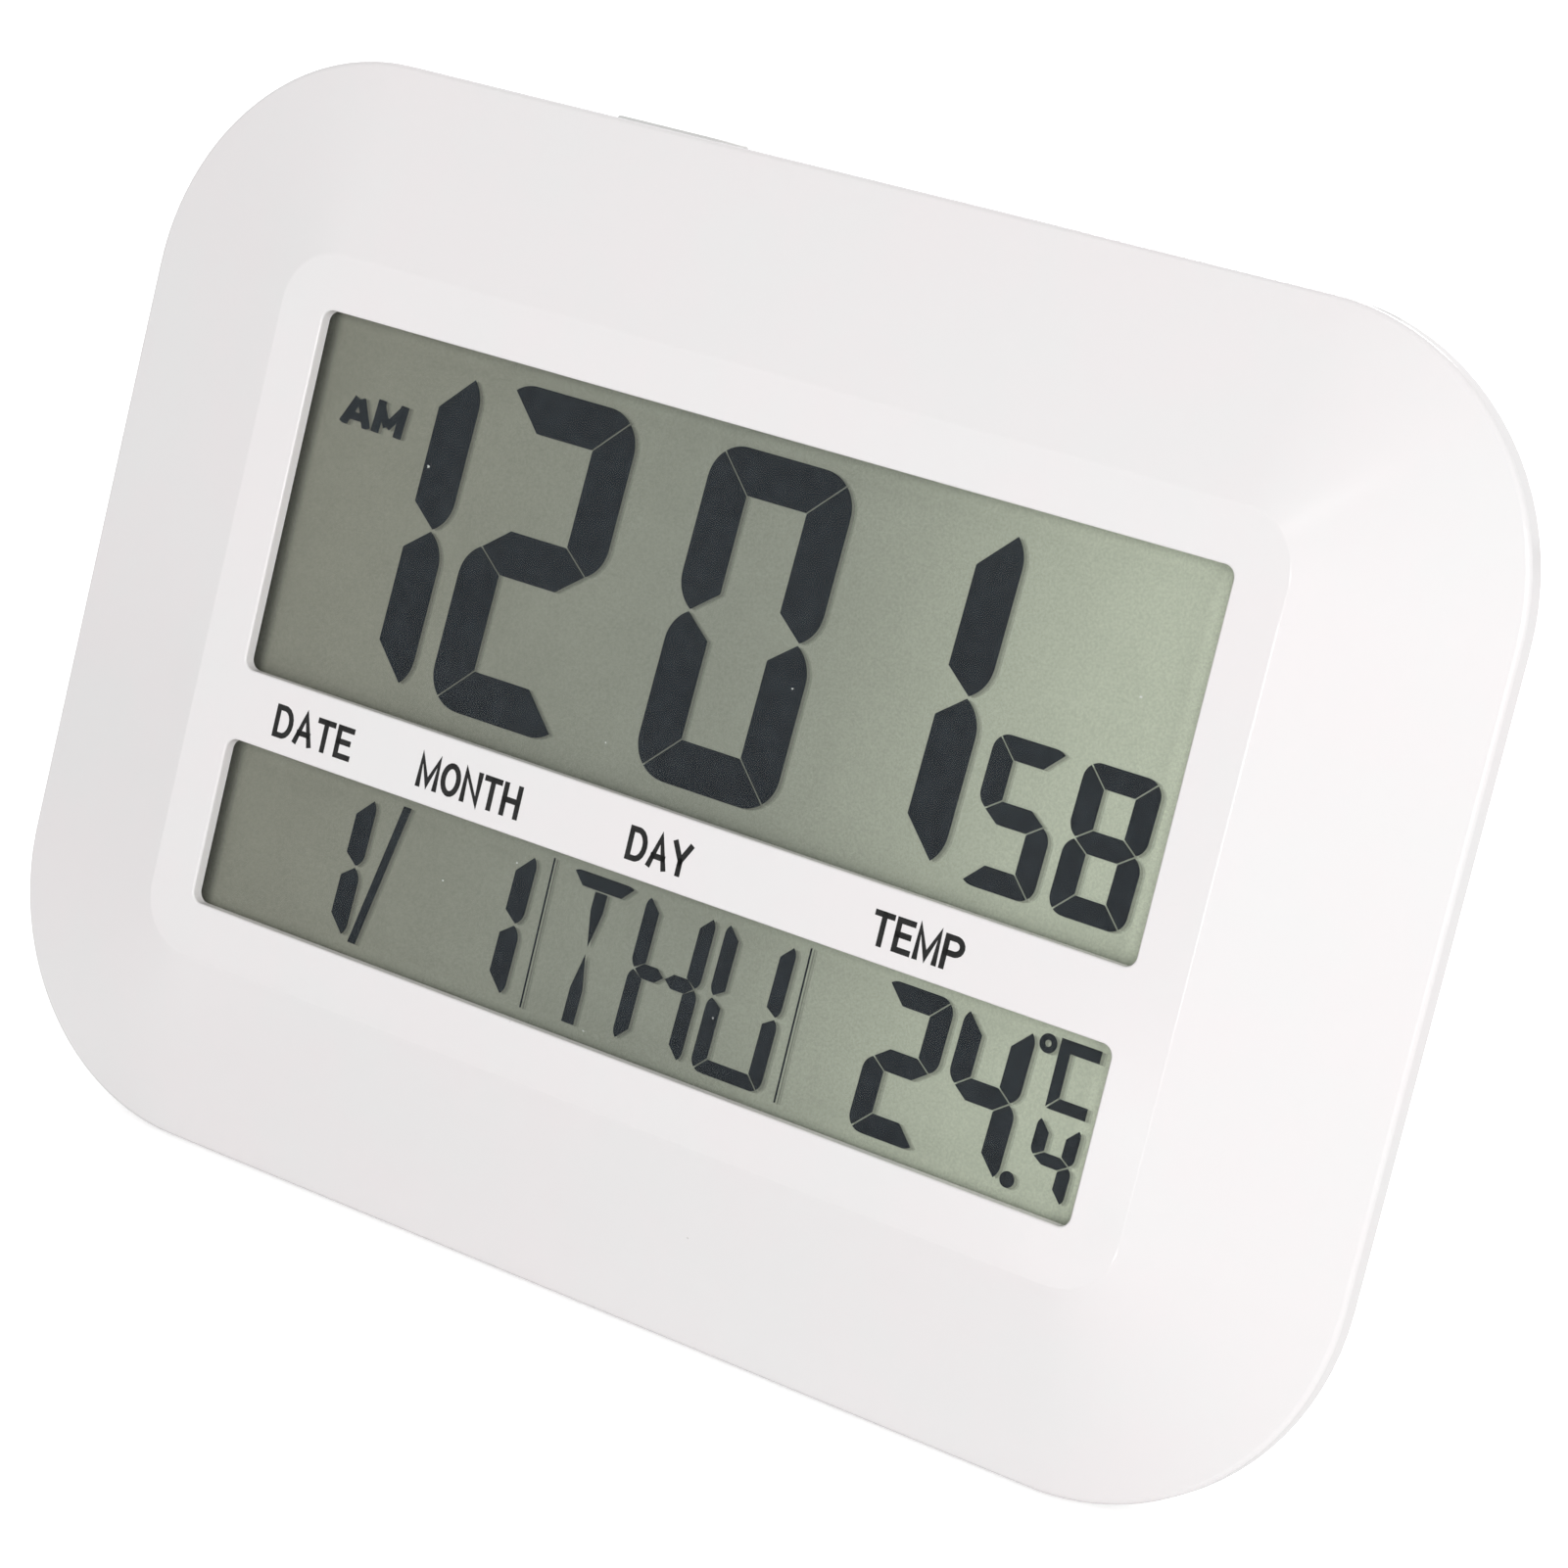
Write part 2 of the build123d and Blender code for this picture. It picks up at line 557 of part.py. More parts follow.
def add_leg_recess(cover):
    """Tray for the folded leg, open at the lower edge, with bearings for the two hinge pins."""
    outside = RECESS_HALF_WIDTH + WALL
    tray_floor = RECESS_FLOOR_Y - RECESS_FLOOR
    cover += block(-outside, outside, tray_floor, COVER_INNER, COVER_BOTTOM + WALL, RECESS_TOP + WALL)
    for side in (-1, 1):
        near = side * RECESS_HALF_WIDTH
        far = side * (RECESS_HALF_WIDTH + PIN_BEARING + WALL)
        boss = cross_rod(min(near, far), max(near, far), HINGE_Y, HINGE_Z, PIN_BOSS_RADIUS)
        cover += boss & slab(cover_outline(), RIM_BACK, COVER_INNER + WALL / 2)
    half = RECESS_HALF_WIDTH
    recess = block(-half, half, RECESS_FLOOR_Y, CASE_DEPTH + WALL, COVER_BOTTOM - WALL, RECESS_TOP)
    reach = RECESS_HALF_WIDTH + PIN_BEARING + PIN_END_GAP
    bearing = cross_rod(-reach, reach, HINGE_Y, HINGE_Z, PIN_RADIUS + PIN_RUN_CLEARANCE)
    return cover - recess - bearing


def add_battery_bay(cover):
    """Box for two cells behind the door, with the door's ledge, pin holes, thumb dish and tab slots."""
    half_x = BAY_LENGTH / 2
    half_z = BAY_HEIGHT / 2
    cover += block(
        BAY_X - half_x - BAY_WALL,
        BAY_X + half_x + BAY_WALL,
        BAY_FRONT - BAY_FLOOR,
        COVER_INNER,
        BAY_Z - half_z - BAY_WALL,
        BAY_Z + half_z + BAY_WALL,
    )
    cover -= block(
        BAY_X - half_x, BAY_X + half_x, BAY_FRONT, CASE_DEPTH + WALL, BAY_Z - half_z, BAY_Z + half_z
    )
    cover -= block(
        BAY_X - half_x - DOOR_LEDGE,
        BAY_X + half_x + DOOR_LEDGE,
        DOOR_FRONT - STOP_GAP,
        CASE_DEPTH + WALL,
        BAY_Z - half_z - DOOR_LEDGE,
        BAY_Z + half_z + DOOR_LEDGE,
    )
    reach = half_x + DOOR_LEDGE + DOOR_PIN_LENGTH
    cover -= cross_rod(
        BAY_X - reach, BAY_X + reach, DOOR_AXIS_Y, DOOR_AXIS_Z, DOOR_PIN_RADIUS + PIN_RUN_CLEARANCE
    )
    dish_z = BAY_Z + half_z + DOOR_LEDGE
    cover -= rod(BAY_X, dish_z, LATCH_WIDTH / 2, CASE_DEPTH - LATCH_DEPTH, CASE_DEPTH + WALL)
    for z in cell_levels():
        wall_from = BAY_X - half_x - BAY_WALL
        cover -= block(
            wall_from,
            BAY_X - half_x,
            CELL_Y - TAB_WIDTH / 2 - STOP_GAP,
            CELL_Y + TAB_WIDTH / 2 + STOP_GAP,
            z - CONTACT_THICKNESS / 2 - STOP_GAP,
            z + CONTACT_THICKNESS / 2 + STOP_GAP,
        )
    return cover


def add_key_openings(cover):
    """Holes for the push keys, the alarm slider and the snooze bar, and the snooze board's two brackets."""
    for x, z in key_places():
        cover -= rod(x, z, KEY_RADIUS + KEY_CLEARANCE, COVER_INNER, CASE_DEPTH)
    slot_length = SLIDER_TIP_LENGTH + SLIDER_TRAVEL + 2 * KEY_CLEARANCE
    slot_x = SLIDER_X + SLIDER_TRAVEL / 2
    slot = Pos(slot_x, SLIDER_Z) * Rectangle(slot_length, SLIDER_TIP_WIDTH + 2 * KEY_CLEARANCE)
    cover -= slab(slot, COVER_INNER, CASE_DEPTH)
    opening = RectangleRounded(
        SNOOZE_LENGTH + 2 * KEY_CLEARANCE, SNOOZE_WIDTH + 2 * KEY_CLEARANCE, SNOOZE_CORNER + KEY_CLEARANCE
    )
    top_wall = Plane(origin=(SNOOZE_X, SNOOZE_Y, COVER_TOP - 2 * WALL), z_dir=(0, 0, 1))
    cover -= extrude(top_wall * opening, amount=3 * WALL)
    board_top = SNOOZE_SWITCH_BOTTOM
    board_bottom = board_top - SNOOZE_BOARD_THICKNESS
    for side in (-1, 1):
        end = SNOOZE_X + side * SNOOZE_BOARD_LENGTH / 2
        inner = end - side * BRACKET_GRIP
        outer = end + side * (BRACKET_WIDTH - BRACKET_GRIP)
        bracket = block(
            min(inner, outer),
            max(inner, outer),
            SNOOZE_Y - SNOOZE_BOARD_WIDTH / 2,
            COVER_INNER,
            board_bottom - BRACKET_HEIGHT / 2,
            board_top + BRACKET_HEIGHT / 2,
        )
        groove = block(
            min(inner, end),
            max(inner, end),
            SNOOZE_Y - SNOOZE_BOARD_WIDTH / 2,
            SNOOZE_Y + SNOOZE_BOARD_WIDTH / 2,
            board_bottom,
            board_top,
        )
        cover += bracket - groove
    return cover


def add_hanger_pocket(cover):
    """Shallow seat for the keyhole plate and the pocket that takes the wall screw's head."""
    pocket_top = HANGER_Z + HANGER_HEIGHT / 2 - 2 * POCKET_WALL
    pocket_bottom = HANGER_Z - HANGER_HEIGHT / 2 + 2 * POCKET_WALL
    pocket_front = CASE_DEPTH - HANGER_THICKNESS - POCKET_DEPTH
    back_pad = Pos(0, HANGER_Z) * Rectangle(HANGER_WIDTH, HANGER_HEIGHT)
    cover += slab(back_pad, pocket_front - POCKET_WALL, COVER_INNER)
    half = POCKET_WIDTH / 2
    cover -= block(-half, half, pocket_front, CASE_DEPTH + WALL, pocket_bottom, pocket_top)
    seat = Pos(0, HANGER_Z) * RectangleRounded(
        HANGER_WIDTH + 2 * STOP_GAP, HANGER_HEIGHT + 2 * STOP_GAP, HANGER_CORNER + STOP_GAP
    )
    cover -= slab(seat, CASE_DEPTH - HANGER_THICKNESS, CASE_DEPTH + WALL)
    for x, z in hanger_screw_places():
        hole_front = CASE_DEPTH - SMALL_SCREW_LENGTH - SEAT_GAP
        cover -= rod(x, z, SMALL_SCREW_RADIUS + SCREW_CLEARANCE, hole_front, CASE_DEPTH)
    return cover


def add_air_openings(cover):
    """Round grille behind the sounder and a row of slots by the thermistor."""
    for ring in range(GRILLE_RINGS):
        count = max(1, 6 * ring)
        for index in range(count):
            angle = 2 * pi * index / count
            x = SOUNDER_X + ring * GRILLE_RING_STEP * cos(angle)
            z = SOUNDER_Z + ring * GRILLE_RING_STEP * sin(angle)
            cover -= rod(x, z, GRILLE_HOLE_RADIUS, COVER_INNER, CASE_DEPTH)
    first = BOARD_BOTTOM - THERMISTOR_DROP + SLOT_PITCH * (SLOT_COUNT - 1) / 2
    for index in range(SLOT_COUNT):
        slot = Pos(THERMISTOR_X, first - index * SLOT_PITCH) * SlotOverall(SLOT_LENGTH, SLOT_WIDTH)
        cover -= slab(slot, COVER_INNER, CASE_DEPTH)
    return cover


def make_rear_cover():
    """Tub shaped rear cover with all that is moulded in it."""
    cover = make_cover_tub()
    cover = add_screw_wells(cover)
    cover = add_leg_recess(cover)
    cover = add_battery_bay(cover)
    cover = add_key_openings(cover)
    cover = add_hanger_pocket(cover)
    return add_air_openings(cover)


@dataclass(frozen=True)
class ScrewSize:
    """Sizes of one kind of pan head screw."""

    radius: float
    length: float
    head_radius: float
    head_height: float


CASE_SCREW = ScrewSize(CASE_SCREW_RADIUS, CASE_SCREW_LENGTH, CASE_SCREW_HEAD_RADIUS, CASE_SCREW_HEAD_HEIGHT)
SMALL_SCREW = ScrewSize(
    SMALL_SCREW_RADIUS, SMALL_SCREW_LENGTH, SMALL_SCREW_HEAD_RADIUS, SMALL_SCREW_HEAD_HEIGHT
)


def make_screws(places, seat, size):
    """Pan head screws driven from the back, their heads resting at the seat's depth, with cross recesses."""
    screws = []
    top = seat + size.head_height
    recess_floor = seat + size.head_height * 0.45
    blade = size.head_radius * 0.28
    span = size.head_radius * 1.2
    for x, z in places:
        head = rod(x, z, size.head_radius, seat, top)
        head = fillet(edges_at_depth(head, top), size.head_height * 0.45)
        screw = head + rod(x, z, size.radius, seat - size.length, seat)
        for cross in (Rectangle(span, blade), Rectangle(blade, span)):
            screw -= slab(Pos(x, z) * cross, recess_floor, top)
        screws.append(screw)
    return together(screws)


def glass_outline(height, shift=0.0, inset=0.0):
    """Front view of one layer of the display."""
    return Pos(0, shift) * Rectangle(GLASS_WIDTH - 2 * inset, height - 2 * inset)


def make_gasket():
    """Thin foam frame between the panel and the glass, cut out round both windows."""
    frame = glass_outline(REAR_GLASS_HEIGHT, inset=FILM_INSET) - window_outline(GASKET_INSET)
    return slab(frame, WALL, GASKET_BACK)


def make_front_polariser():
    """Matt film on the front of the glass."""
    return slab(glass_outline(REAR_GLASS_HEIGHT, inset=FILM_INSET), GASKET_BACK, POLARISER_BACK - LAYER_GAP)


def make_front_glass():
    """Front glass, longer along the top by the ledge that carries the contacts."""
    height = REAR_GLASS_HEIGHT + CONTACT_LEDGE
    return slab(glass_outline(height, shift=CONTACT_LEDGE / 2), POLARISER_BACK, FRONT_GLASS_BACK)


def make_edge_seal():
    """Thin frame of sealant that keeps the two glasses apart."""
    ring = glass_outline(REAR_GLASS_HEIGHT) - glass_outline(REAR_GLASS_HEIGHT, inset=SEAL_WIDTH)
    return slab(ring, FRONT_GLASS_BACK, CELL_BACK)


def make_rear_glass():
    """Rear glass of the display."""
    return slab(glass_outline(REAR_GLASS_HEIGHT), CELL_BACK, REAR_GLASS_BACK)


def make_reflector():
    """Reflecting film behind the rear glass, the ground of the display."""
    outline = glass_outline(REAR_GLASS_HEIGHT, inset=FILM_INSET)
    return slab(outline, REAR_GLASS_BACK + LAYER_GAP, REFLECTOR_BACK)


def slanted(points, height):
    """Points of a figure with its top leaning to the right."""
    return [(x + SEGMENT_SLANT * (z - height / 2), z) for x, z in points]


def outline_face(points):
    """Flat face inside a closed run of points."""
    return make_face(Polyline(*points, close=True))


def figure_contour(style, foot, head):
    """Rounded outline of half a figure, between two heights of its cell."""
    half = style.width / 2
    corners = [(-half, foot), (half, foot), (half, head), (-half, head)]
    face = outline_face(slanted(corners, style.height))
    return fillet(face.vertices(), style.corner)


def segment_points(style, name):
    """Corners of one segment before the figure's rounding, about the middle of its cell."""
    half = style.width / 2
    inner = half - style.upright
    tip = half - style.waist + SEGMENT_GAP / 2
    top = style.height
    middle = top / 2
    ends = half - style.upright + style.level
    upper = [(half, top), (ends, top), (inner, top - style.level), (inner, middle + style.level / 2)]
    upper += [(tip, middle), (half, middle)]
    lower = [(half, 0), (ends, 0), (inner, style.level), (inner, middle - style.level / 2)]
    lower += [(tip, middle), (half, middle)]
    bar = [(-ends, top), (ends, top), (inner, top - style.level), (-inner, top - style.level)]
    foot = [(-ends, 0), (ends, 0), (inner, style.level), (-inner, style.level)]
    mid_top = middle + style.level / 2
    mid_bottom = middle - style.level / 2
    middle_bar = [(-tip, middle), (-inner, mid_top), (inner, mid_top), (tip, middle)]
    middle_bar += [(inner, mid_bottom), (-inner, mid_bottom)]
    shapes = {"a": bar, "b": upper, "c": lower, "d": foot, "g": middle_bar}
    shapes["f"] = [(-x, z) for x, z in upper]
    shapes["e"] = [(-x, z) for x, z in lower]
    return shapes[name]


def letter_bars(style, name):
    """Pieces that only letters have: h is the split middle bar, t the two tapered middle uprights."""
    middle = style.height / 2
    half_level = style.level / 2
    if name == "h":
        outer = style.width / 2 - style.waist
        step = style.level * 0.6
        left = [(-outer, middle), (step - outer, middle + half_level), (-step, middle + half_level)]
        left += [(0, middle), (-step, middle - half_level), (step - outer, middle - half_level)]
        return [left, [(-x, z) for x, z in left]]
    wide = half_level
    shoulder = middle * 0.52
    top = style.height - style.level
    upper = [(0, middle), (wide, middle + shoulder), (wide, top), (-wide, top), (-wide, middle + shoulder)]
    lower = [(x, style.height - z - style.level * (z == top)) for x, z in upper]
    return [upper, lower]


def figure_faces(style, figure):
    """Lit segments of one figure, its cell standing on zero and centred across."""
    waist_sag = style.corner - sqrt(2 * style.corner * style.waist - style.waist**2)
    middle = style.height / 2
    upper_half = figure_contour(style, middle - waist_sag, style.height)
    lower_half = figure_contour(style, 0, middle + waist_sag)
    faces = []
    for name in FIGURES[figure]:
        if name in "ht":
            faces += [outline_face(slanted(points, style.height)) for points in letter_bars(style, name)]
            continue
        face = outline_face(slanted(segment_points(style, name), style.height))
        if name in "abf":
            face = face & upper_half
        elif name in "cde":
            face = face & lower_half
        faces.append(face)
    return [offset(face, amount=-SEGMENT_GAP / 2, kind=Kind.INTERSECTION) for face in faces]


def placed(faces, x, z):
    """Flat faces moved to their place on the display."""
    return [Pos(x, z) * face for face in faces]


def stroke_face(start, end, width):
    """Straight stroke with square ends between two points."""
    middle = ((start[0] + end[0]) / 2, (start[1] + end[1]) / 2)
    run = (end[0] - start[0], end[1] - start[1])
    length = sqrt(run[0] ** 2 + run[1] ** 2)
    turn = degrees(acos(run[0] / length)) * (1 if run[1] >= 0 else -1)
    return Pos(*middle) * Rot(Z=turn) * Rectangle(length, width)


def morning_mark():
    """The two small letters that tell morning from afternoon, drawn with plain strokes."""
    height = MARK_HEIGHT
    stroke = MARK_STROKE
    inner = height - stroke / 2
    lean = height * 0.08
    first = stroke_face((-6.1, 0), (-3.7, inner), stroke)
    first += stroke_face((-0.9, 0), (-3.1, inner), stroke)
    first += stroke_face((-4.8, height * 0.3), (-1.6, height * 0.3), stroke * 0.8)
    second = stroke_face((0.9, 0), (0.9 + lean, height), stroke)
    second += stroke_face((5.7, 0), (5.7 + lean, height), stroke)
    second += stroke_face((1.2, inner), (3.2, height * 0.25), stroke * 0.9)
    second += stroke_face((5.9, inner), (3.2, height * 0.25), stroke * 0.9)
    frame = Pos(0, height / 2) * Rectangle(4 * height, height)
    return [first & frame, second & frame]


def fitted(faces, window_height, field_height, window_z):
    """Row of figures drawn about its field's middle, fitted to its window."""
    ratio = min(WINDOW_WIDTH / FIELD_WIDTH, window_height / field_height)
    return [Pos(0, window_z) * scale(face, by=ratio) for face in faces]


def time_row():
    """Hours, minutes, seconds and the morning mark in the upper window."""
    floor = -TIME_FIELD_HEIGHT / 2
    faces = []
    for x, figure in zip(HOUR_CENTRES, "1201"):
        faces += placed(figure_faces(HOUR_STYLE, figure), x, floor + HOUR_FOOT)
    for x, figure in zip(SECOND_CENTRES, "58"):
        faces += placed(figure_faces(SECOND_STYLE, figure), x, floor + HOUR_FOOT)
    faces += placed(morning_mark(), MARK_CENTRE, floor + MARK_FOOT)
    return fitted(faces, TIME_WINDOW_HEIGHT, TIME_FIELD_HEIGHT, TIME_WINDOW_Z)


def unit_mark():
    """Degree ring and the unit letter."""
    ring = Circle(DEGREE_RADIUS) - Circle(DEGREE_HOLE)
    half = UNIT_WIDTH / 2
    letter = Pos(0, UNIT_HEIGHT / 2) * Rectangle(UNIT_WIDTH, UNIT_HEIGHT)
    letter -= Pos(UNIT_BAR, UNIT_HEIGHT / 2) * Rectangle(UNIT_WIDTH, UNIT_HEIGHT - 2 * UNIT_BAR)
    letter -= stroke_face((-half, 0), (-half + UNIT_BAR, UNIT_BAR), SEGMENT_GAP)
    return ring, letter


def date_row():
    """Date, weekday and temperature in the lower window."""
    foot = DATE_FOOT - DATE_FIELD_HEIGHT / 2
    faces = []
    for x, figure in zip(DATE_CENTRES, "1124"):
        faces += placed(figure_faces(DATE_STYLE, figure), x, foot)
    for x, figure in zip(LETTER_CENTRES, "THU"):
        faces += placed(figure_faces(LETTER_STYLE, figure), x, foot)
    faces += placed(figure_faces(TENTH_STYLE, "4"), TENTH_CENTRE, foot)
    for x in DIVIDER_CENTRES:
        faces.append(Pos(x, foot + DATE_STYLE.height / 2) * Rectangle(DIVIDER_WIDTH, DIVIDER_HEIGHT))
    half = SLASH_WIDTH / 2
    top = DATE_STYLE.height
    slash = [(-SLASH_RUN / 2 - half, 0), (half - SLASH_RUN / 2, 0), (SLASH_RUN / 2 + half, top)]
    slash.append((SLASH_RUN / 2 - half, top))
    faces += placed([outline_face(slash)], SLASH_CENTRE, foot)
    ring, letter = unit_mark()
    faces += placed([Circle(POINT_RADIUS)], POINT_CENTRE, foot + POINT_RADIUS)
    faces += placed([ring], DEGREE_CENTRE, foot + top - DEGREE_RADIUS)
    faces += placed([letter], UNIT_CENTRE, foot + top - UNIT_HEIGHT)
    return fitted(faces, DATE_WINDOW_HEIGHT, DATE_FIELD_HEIGHT, DATE_WINDOW_Z)


def make_segments():
    """Every dark segment of the display, in the liquid crystal layer between the glasses."""
    front, back = DISPLAY_LAYER
    return together(slab(face, front, back) for face in time_row() + date_row())


def make_carrier():
    """Plastic frame that clamps the display to the front shell and carries the main board."""
    plate = glass_outline(REAR_GLASS_HEIGHT, inset=-CARRIER_MARGIN)
    top_strip = CONTACT_LEDGE / 2 + STRIP_WIDTH / 2 + STRIP_CLEARANCE + STRIP_RAIL
    plate += Pos(0, REAR_GLASS_HEIGHT / 2 + top_strip / 2) * Rectangle(GLASS_WIDTH, top_strip)
    for x, z in carrier_screw_places():
        plate += Pos(x, z) * Circle(CARRIER_EAR_RADIUS)
        plate += Pos(x * 0.97, z) * Rectangle(CARRIER_EAR_OFFSET, 2 * CARRIER_EAR_RADIUS)
    bars = (CARRIER_COLUMNS - 1) * CARRIER_BAR
    width = (GLASS_WIDTH - 2 * CARRIER_SIDE - bars) / CARRIER_COLUMNS
    height = (REAR_GLASS_HEIGHT - 2 * CARRIER_END - CARRIER_CROSS_BAR) / 2
    opening = RectangleRounded(width, height, CARRIER_OPENING_CORNER)
    for column in range(CARRIER_COLUMNS):
        x = (column - (CARRIER_COLUMNS - 1) / 2) * (width + CARRIER_BAR)
        for side in (-1, 1):
            plate -= Pos(x, side * (height + CARRIER_CROSS_BAR) / 2) * opening
    carrier = slab(plate, REFLECTOR_BACK, CARRIER_BACK)
    for x, z in carrier_screw_places():
        carrier -= rod(x, z, SMALL_SCREW_RADIUS + 2 * SCREW_CLEARANCE, REFLECTOR_BACK, CARRIER_BACK)
    for x, z in board_screw_places():
        carrier += rod(x, z, BOARD_POST_RADIUS, REFLECTOR_BACK, BOARD_FRONT)
        carrier -= rod(x, z, SMALL_SCREW_RADIUS + SCREW_CLEARANCE, CARRIER_BACK, BOARD_FRONT)
    slot = Pos(STRIP_X, STRIP_Z) * Rectangle(
        STRIP_LENGTH + 2 * STRIP_CLEARANCE, STRIP_WIDTH + 2 * STRIP_CLEARANCE
    )
    return carrier - slab(slot, REFLECTOR_BACK, CARRIER_BACK)


def make_strip():
    """Elastomer strip that joins the glass's contacts to the board's."""
    outline = Pos(STRIP_X, STRIP_Z) * Rectangle(STRIP_LENGTH, STRIP_WIDTH)
    return slab(outline, FRONT_GLASS_BACK, BOARD_FRONT)


def make_board():
    """Main board with its screw holes."""
    board = slab(
        Pos(BOARD_X, BOARD_Z) * RectangleRounded(BOARD_WIDTH, BOARD_HEIGHT, 2), BOARD_FRONT, BOARD_BACK
    )
    for x, z in board_screw_places():
        board -= rod(x, z, SMALL_SCREW_RADIUS + 2 * SCREW_CLEARANCE, BOARD_FRONT, BOARD_BACK)
    return board


def make_chip():
    """Round blob of sealing resin over the chip."""
    blob = rod(CHIP_X, CHIP_Z, CHIP_RADIUS, BOARD_BACK, BOARD_BACK + CHIP_HEIGHT)
    return fillet(edges_at_depth(blob, BOARD_BACK + CHIP_HEIGHT), CHIP_HEIGHT * 0.9)


def make_crystal():
    """Small metal can of the clock crystal, lying on the board."""
    x = CHIP_X + CHIP_RADIUS + CRYSTAL_LENGTH / 2
    y = BOARD_BACK + CRYSTAL_RADIUS
    return cross_rod(x, x + CRYSTAL_LENGTH, y, CHIP_Z, CRYSTAL_RADIUS)


def make_capacitors():
    """Three capacitors that stand on the board below the chip."""
    z = BOARD_BOTTOM + 3 * CAPACITOR_RADIUS
    cans = []
    for index in (-1, 0, 1):
        x = CHIP_X + index * 4 * CAPACITOR_RADIUS
        can = rod(x, z, CAPACITOR_RADIUS, BOARD_BACK, BOARD_BACK + CAPACITOR_HEIGHT)
        cans.append(fillet(edges_at_depth(can, BOARD_BACK + CAPACITOR_HEIGHT), CAPACITOR_RADIUS * 0.12))
    return together(cans)


def make_thermistor():
    """Temperature sensor on two legs below the board, where the air slots are."""
    z = BOARD_BOTTOM
    y = BOARD_BACK + LEAD_WIRE_RADIUS
    bead = upright_rod(
        THERMISTOR_X, y, THERMISTOR_RADIUS, z - THERMISTOR_DROP - THERMISTOR_LENGTH, z - THERMISTOR_DROP
    )
    bead = fillet(bead.edges().filter_by(GeomType.CIRCLE), THERMISTOR_RADIUS * 0.6)
    for side in (-1, 1):
        x = THERMISTOR_X + side * THERMISTOR_RADIUS * 0.5
        leg_top = z + THERMISTOR_LENGTH
        leg_foot = z - THERMISTOR_DROP - THERMISTOR_LENGTH / 2
        bead += upright_rod(x, y, LEAD_WIRE_RADIUS, leg_foot, leg_top)
    return bead


def make_push_switch(x, z):
    """Square body of one push switch on the main board, with the bore of its plunger."""
    back = BOARD_BACK + SWITCH_HEIGHT
    body = slab(Pos(x, z) * RectangleRounded(SWITCH_SIZE, SWITCH_SIZE, 0.5), BOARD_BACK, back)
    return body - rod(x, z, PLUNGER_RADIUS + PLUNGER_CLEARANCE, BOARD_BACK + SWITCH_FLOOR, back)


def make_key_switches():
    """The four push switches under the keys."""
    return together(make_push_switch(x, z) for x, z in key_places())


def make_key_plunger(x, z):
    """Plunger of one push switch; it ends on the key's stem."""
    return rod(x, z, PLUNGER_RADIUS, KEY_STEM_FRONT - PLUNGER_LENGTH, KEY_STEM_FRONT)


def make_key(x, z):
    """Push key: round cap, flange that keeps it in the cover, and stem."""
    cap = rod(x, z, KEY_RADIUS, KEY_FLANGE_BACK, CASE_DEPTH + KEY_STAND)
    cap = fillet(edges_at_depth(cap, CASE_DEPTH + KEY_STAND), KEY_EDGE_ROUND)
    flange = rod(x, z, KEY_RADIUS + KEY_FLANGE, KEY_FLANGE_BACK - KEY_FLANGE_THICKNESS, KEY_FLANGE_BACK)
    stem = rod(x, z, KEY_STEM_RADIUS, KEY_STEM_FRONT, KEY_FLANGE_BACK)
    return cap + flange + stem


def make_slider_body():
    """Body of the alarm switch, with the groove that the slider's foot runs in."""
    back = BOARD_BACK + SLIDER_BODY_HEIGHT
    middle = SLIDER_X + SLIDER_TRAVEL / 2
    body = slab(
        Pos(middle, SLIDER_Z) * Rectangle(SLIDER_BODY_LENGTH, SLIDER_BODY_WIDTH), BOARD_BACK, back
    )
    groove = Rectangle(
        SLIDER_TIP_LENGTH + SLIDER_TRAVEL + 2 * KEY_CLEARANCE, SLIDER_TIP_WIDTH + 2 * PLUNGER_CLEARANCE
    )
    return body - slab(Pos(middle, SLIDER_Z) * groove, back - SLIDER_RIDE - STOP_GAP, back)


def make_slider():
    """Slider of the alarm switch, from its foot in the switch to its ribbed tip outside the cover."""
    foot = BOARD_BACK + SLIDER_BODY_HEIGHT - SLIDER_RIDE
    tip = CASE_DEPTH + SLIDER_STAND
    outline = Pos(SLIDER_X, SLIDER_Z) * Rectangle(SLIDER_TIP_LENGTH, SLIDER_TIP_WIDTH)
    slider = slab(outline, foot, tip)
    step = SLIDER_TIP_LENGTH / 4
    for index in (-1, 0, 1):
        groove = Pos(SLIDER_X + index * step, SLIDER_Z) * Rectangle(step / 3, 2 * SLIDER_TIP_WIDTH)
        slider -= slab(groove, tip - SLIDER_STAND / 3, tip)
    return slider


def make_snooze_bar():
    """Long push bar in the top wall, with its flange inside and the stem that reaches its switch."""
    plane = Plane(origin=(SNOOZE_X, SNOOZE_Y, SNOOZE_FLANGE_TOP), z_dir=(0, 0, 1))
    bar_outline = RectangleRounded(SNOOZE_LENGTH, SNOOZE_WIDTH, SNOOZE_CORNER)
    bar = extrude(plane * bar_outline, amount=SNOOZE_TOP - SNOOZE_FLANGE_TOP)
    bar = fillet(bar.faces().sort_by(Axis.Z)[-1].edges(), KEY_EDGE_ROUND)
    flange_outline = Rectangle(SNOOZE_LENGTH + 2 * KEY_FLANGE, SNOOZE_WIDTH + 2 * KEY_FLANGE)
    flange = extrude(plane * flange_outline, amount=-KEY_FLANGE_THICKNESS)
    stem = upright_rod(SNOOZE_X, SNOOZE_Y, KEY_STEM_RADIUS, SNOOZE_STEM_BOTTOM, SNOOZE_FLANGE_TOP)
    return bar + flange + stem


